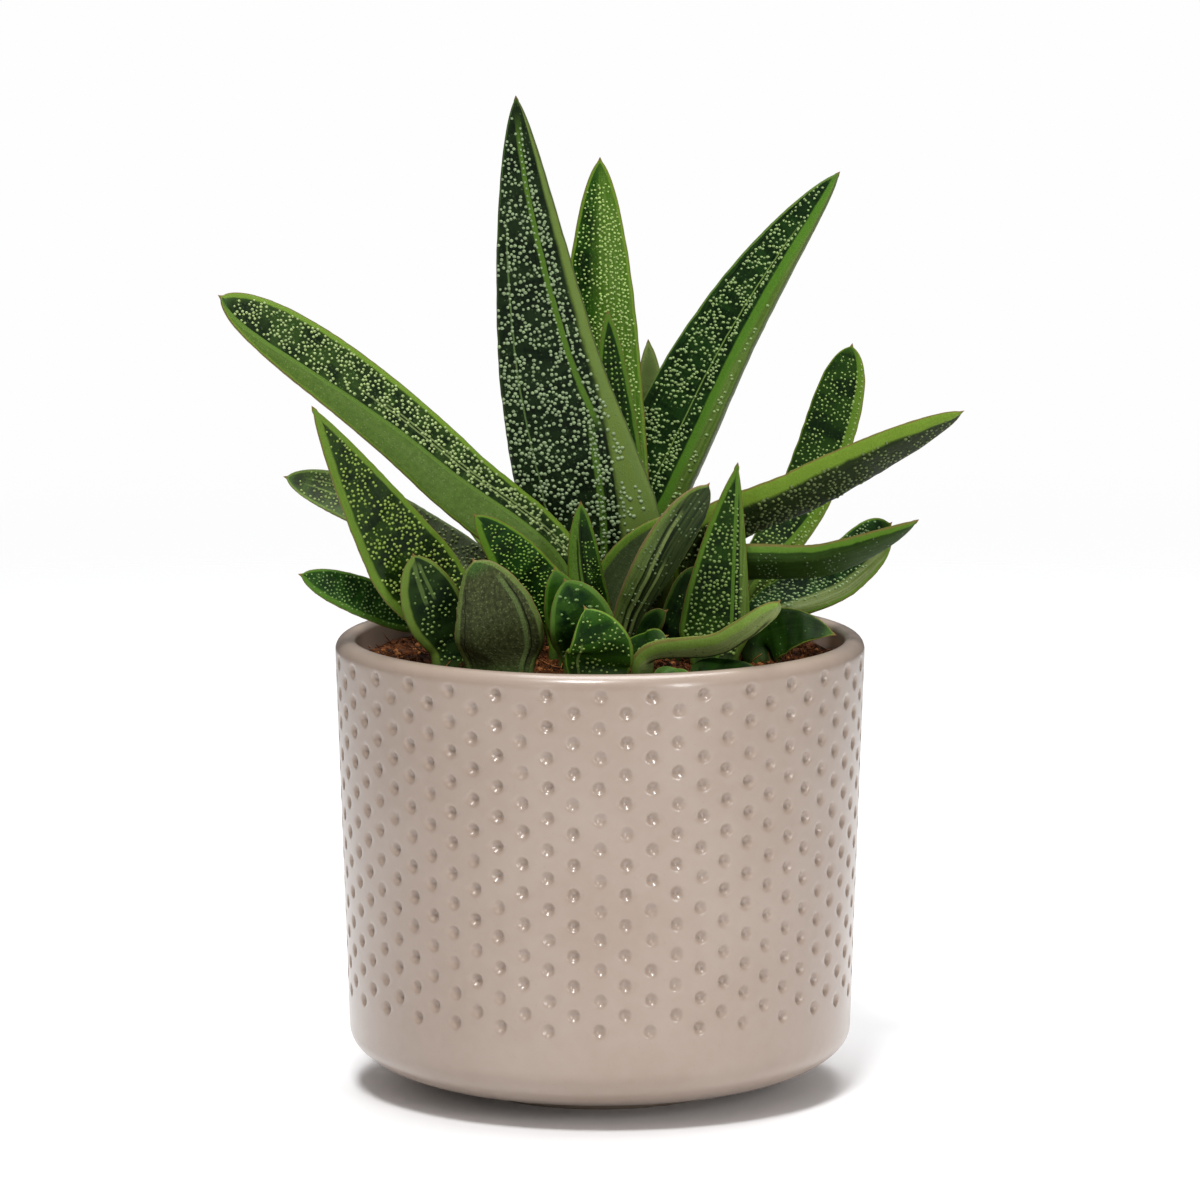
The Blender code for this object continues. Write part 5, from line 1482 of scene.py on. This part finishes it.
def wartTree():
    # warts in wavy bands over the leaf, and single ones at the vertices of a second object
    tree, given, out = newGroup("GeometryNodeTree", "warts", {
        "Geometry": "Geometry", "Bead": "Object", "Row points": "Object", "Material": "Material", "Seed": 1,
        "Spacing": 1.2, "Size": 0.9, "Cover": 0.5, "Back cover": 0.3, "Band across": 14.0,
        "Band along": 4.5, "Clear left": 0.8, "Clear right": 0.8, "Ridge clear": 0.0, "Clumps": 0.5,
        "Line foot": 0.0, "Line tip": 0.0, "Line clear": 0.0, "Bare foot": -2.0, "Bare tip": -2.0,
        "Bare limit": 2.0, "Tip bare": 5.0, "Length": 100.0, "Stretch": 0.2}, dict(Geometry="Geometry"))
    seed = given["Seed"]
    spots = addNode(tree, "GeometryNodeDistributePointsOnFaces", {
        "Mesh": given["Geometry"], "Distance Min": given["Spacing"] * mm, "Density Max": warts["densest"],
        "Density Factor": 1.0, "Seed": seed}, distribute_method="POISSON").outputs
    across, along, half = separate(namedField(tree, "place"))
    margin, ridge, side = separate(namedField(tree, "edge"))
    t = along / given["Length"]
    spread = combine(ridge / given["Band across"], along / given["Band along"],
                     side * zones["sideStep"] + seed)
    back = rise(side, *zones["backEdge"])
    cover = given["Cover"] * (1.0 - back) + given["Back cover"] * back
    # a cover of 0 to 1 is spread over the range that the noise has
    low, high = warts["noiseRange"]
    kept = grain(spread, 1.0, 2.0, 0.5, zones["bandWarp"]) > high - cover * (high - low)
    # thin winding gaps leave the warts in short chains
    worms = combine(ridge / warts["gapSize"][0], along / warts["gapSize"][1], seed)
    winding = abs(grain(worms, 1.0, detail=1.0) - 0.5)
    line = blend(t, given["Line foot"], given["Line tip"])
    border = calc("MINIMUM", blend(t, given["Bare foot"], given["Bare tip"]), given["Bare limit"])
    clear = blend(across > 0.0, given["Clear left"], given["Clear right"])
    for value, least in (
            (winding, given["Clumps"] * warts["gapWidth"]),
            (abs((across - line) * half), given["Line clear"]), (across, border), (margin, clear),
            (abs(ridge), given["Ridge clear"]), (given["Length"] - along, given["Tip bare"]),
            (along, warts["footClear"]), (cover, 0.01)):
        kept = kept * (value > least)
    narrow = given["Size"] * mm * randomField(tree, *warts["sizeSpread"], seed)
    narrow = narrow * calc("MULTIPLY_ADD", t, -warts["sizeLoss"], warts["sizeAtFoot"])
    longer = narrow * randomField(tree, 1.0, 1.0 + given["Stretch"], seed + 3.0)
    bead, rowShape = (fromNode(tree, "GeometryNodeObjectInfo", {"Object": given[label]}, "Geometry")
                      for label in ("Bead", "Row points"))
    bands = fromNode(tree, "GeometryNodeInstanceOnPoints", {
        "Points": Wire(tree, spots["Points"]), "Selection": kept, "Instance": bead,
        "Rotation": Wire(tree, spots["Rotation"]), "Scale": combine(longer, narrow, narrow)})
    upright = fromNode(tree, "FunctionNodeAlignRotationToVector", {"Vector": namedField(tree, "up")},
                       axis="Z")
    single = fromNode(tree, "GeometryNodeInstanceOnPoints", {
        "Points": fromNode(tree, "GeometryNodeMeshToPoints", {"Mesh": rowShape}), "Instance": bead,
        "Rotation": upright, "Scale": namedField(tree, "size", "FLOAT")})
    real = fromNode(tree, "GeometryNodeRealizeInstances", {"Geometry": joinAll([bands, single])})
    feed(out["Geometry"], joinAll([coated(real, given["Material"]), given["Geometry"]]))
    return tree


def rowPoints(shape, rows, dice):
    # one vertex for each wart of the leaf's rows, with its direction and size
    path = leafPath(shape)
    spots, ups, sizes = [], [], []
    wander = warts["rowWander"]
    for side, foot, tip, start, stop, spacing, size in rows:
        t = start
        while t < stop:
            station = leafStation(shape, path, t)
            a = foot + (tip - foot) * t + dice.uniform(-wander, wander) / station["half"]
            if abs(a) * station["half"] < station["half"] - size / 2:
                spot = leafSurface(station, a, side)
                step = warts["slopeStep"] / station["half"]
                slope = leafSurface(station, a + step, side) - leafSurface(station, a - step, side)
                up = slope.cross(station["along"])
                up = up if up.dot(station["out"]) * (1 - 2 * side) > 0 else -up
                spots.append(spot * mm)
                ups.append(up.normalized())
                sizes.append(size * mm * dice.uniform(*warts["rowSpread"]))
            t += spacing * dice.uniform(*warts["rowStep"]) / path[2]
    mesh = newMesh("rowPoints", spots, [])
    addLayer(mesh, "up", ups)
    addLayer(mesh, "size", sizes, vectors=False)
    return newObject("rowPoints", mesh)


def makeLeaf(number, name, shape, bead, tree):
    look = dict(leafLook, **looksOf.get(name, {}))
    length = leafPath(shape)[2]
    large = length > leafForm["longLeaf"]
    item = newObject(name + "_skin", leafMesh(name, shape, leafForm["stations"][large],
                                              leafForm["steps"][large]))
    item.data.materials.append(leafSkin(name, look, length, number))
    rows = rowPoints(shape, look["rows"], random.Random(number + 50))
    growWith(item, tree, dict(dealOut(look, wartInputs), **{
        "Bead": bead, "Row points": rows, "Material": wartSkin(look["wart"]), "Seed": number + 1,
        "Length": length}))
    removeObjects([rows])
    finishPiece(item, name)
    return len(item.data.polygons)


def makeLeaves():
    bead = newObject("bead", beadMesh())
    tree = wartTree()
    total = 0
    for number, (name, shape) in enumerate(leafShapes.items()):
        total += makeLeaf(number, name, dict(plainShape, **shape), bead, tree)
    removeObjects([bead])
    print("leaves:", len(leafShapes), "pieces,", total, "faces")


makeLeaves()


# The end

bpy.context.view_layer.update()
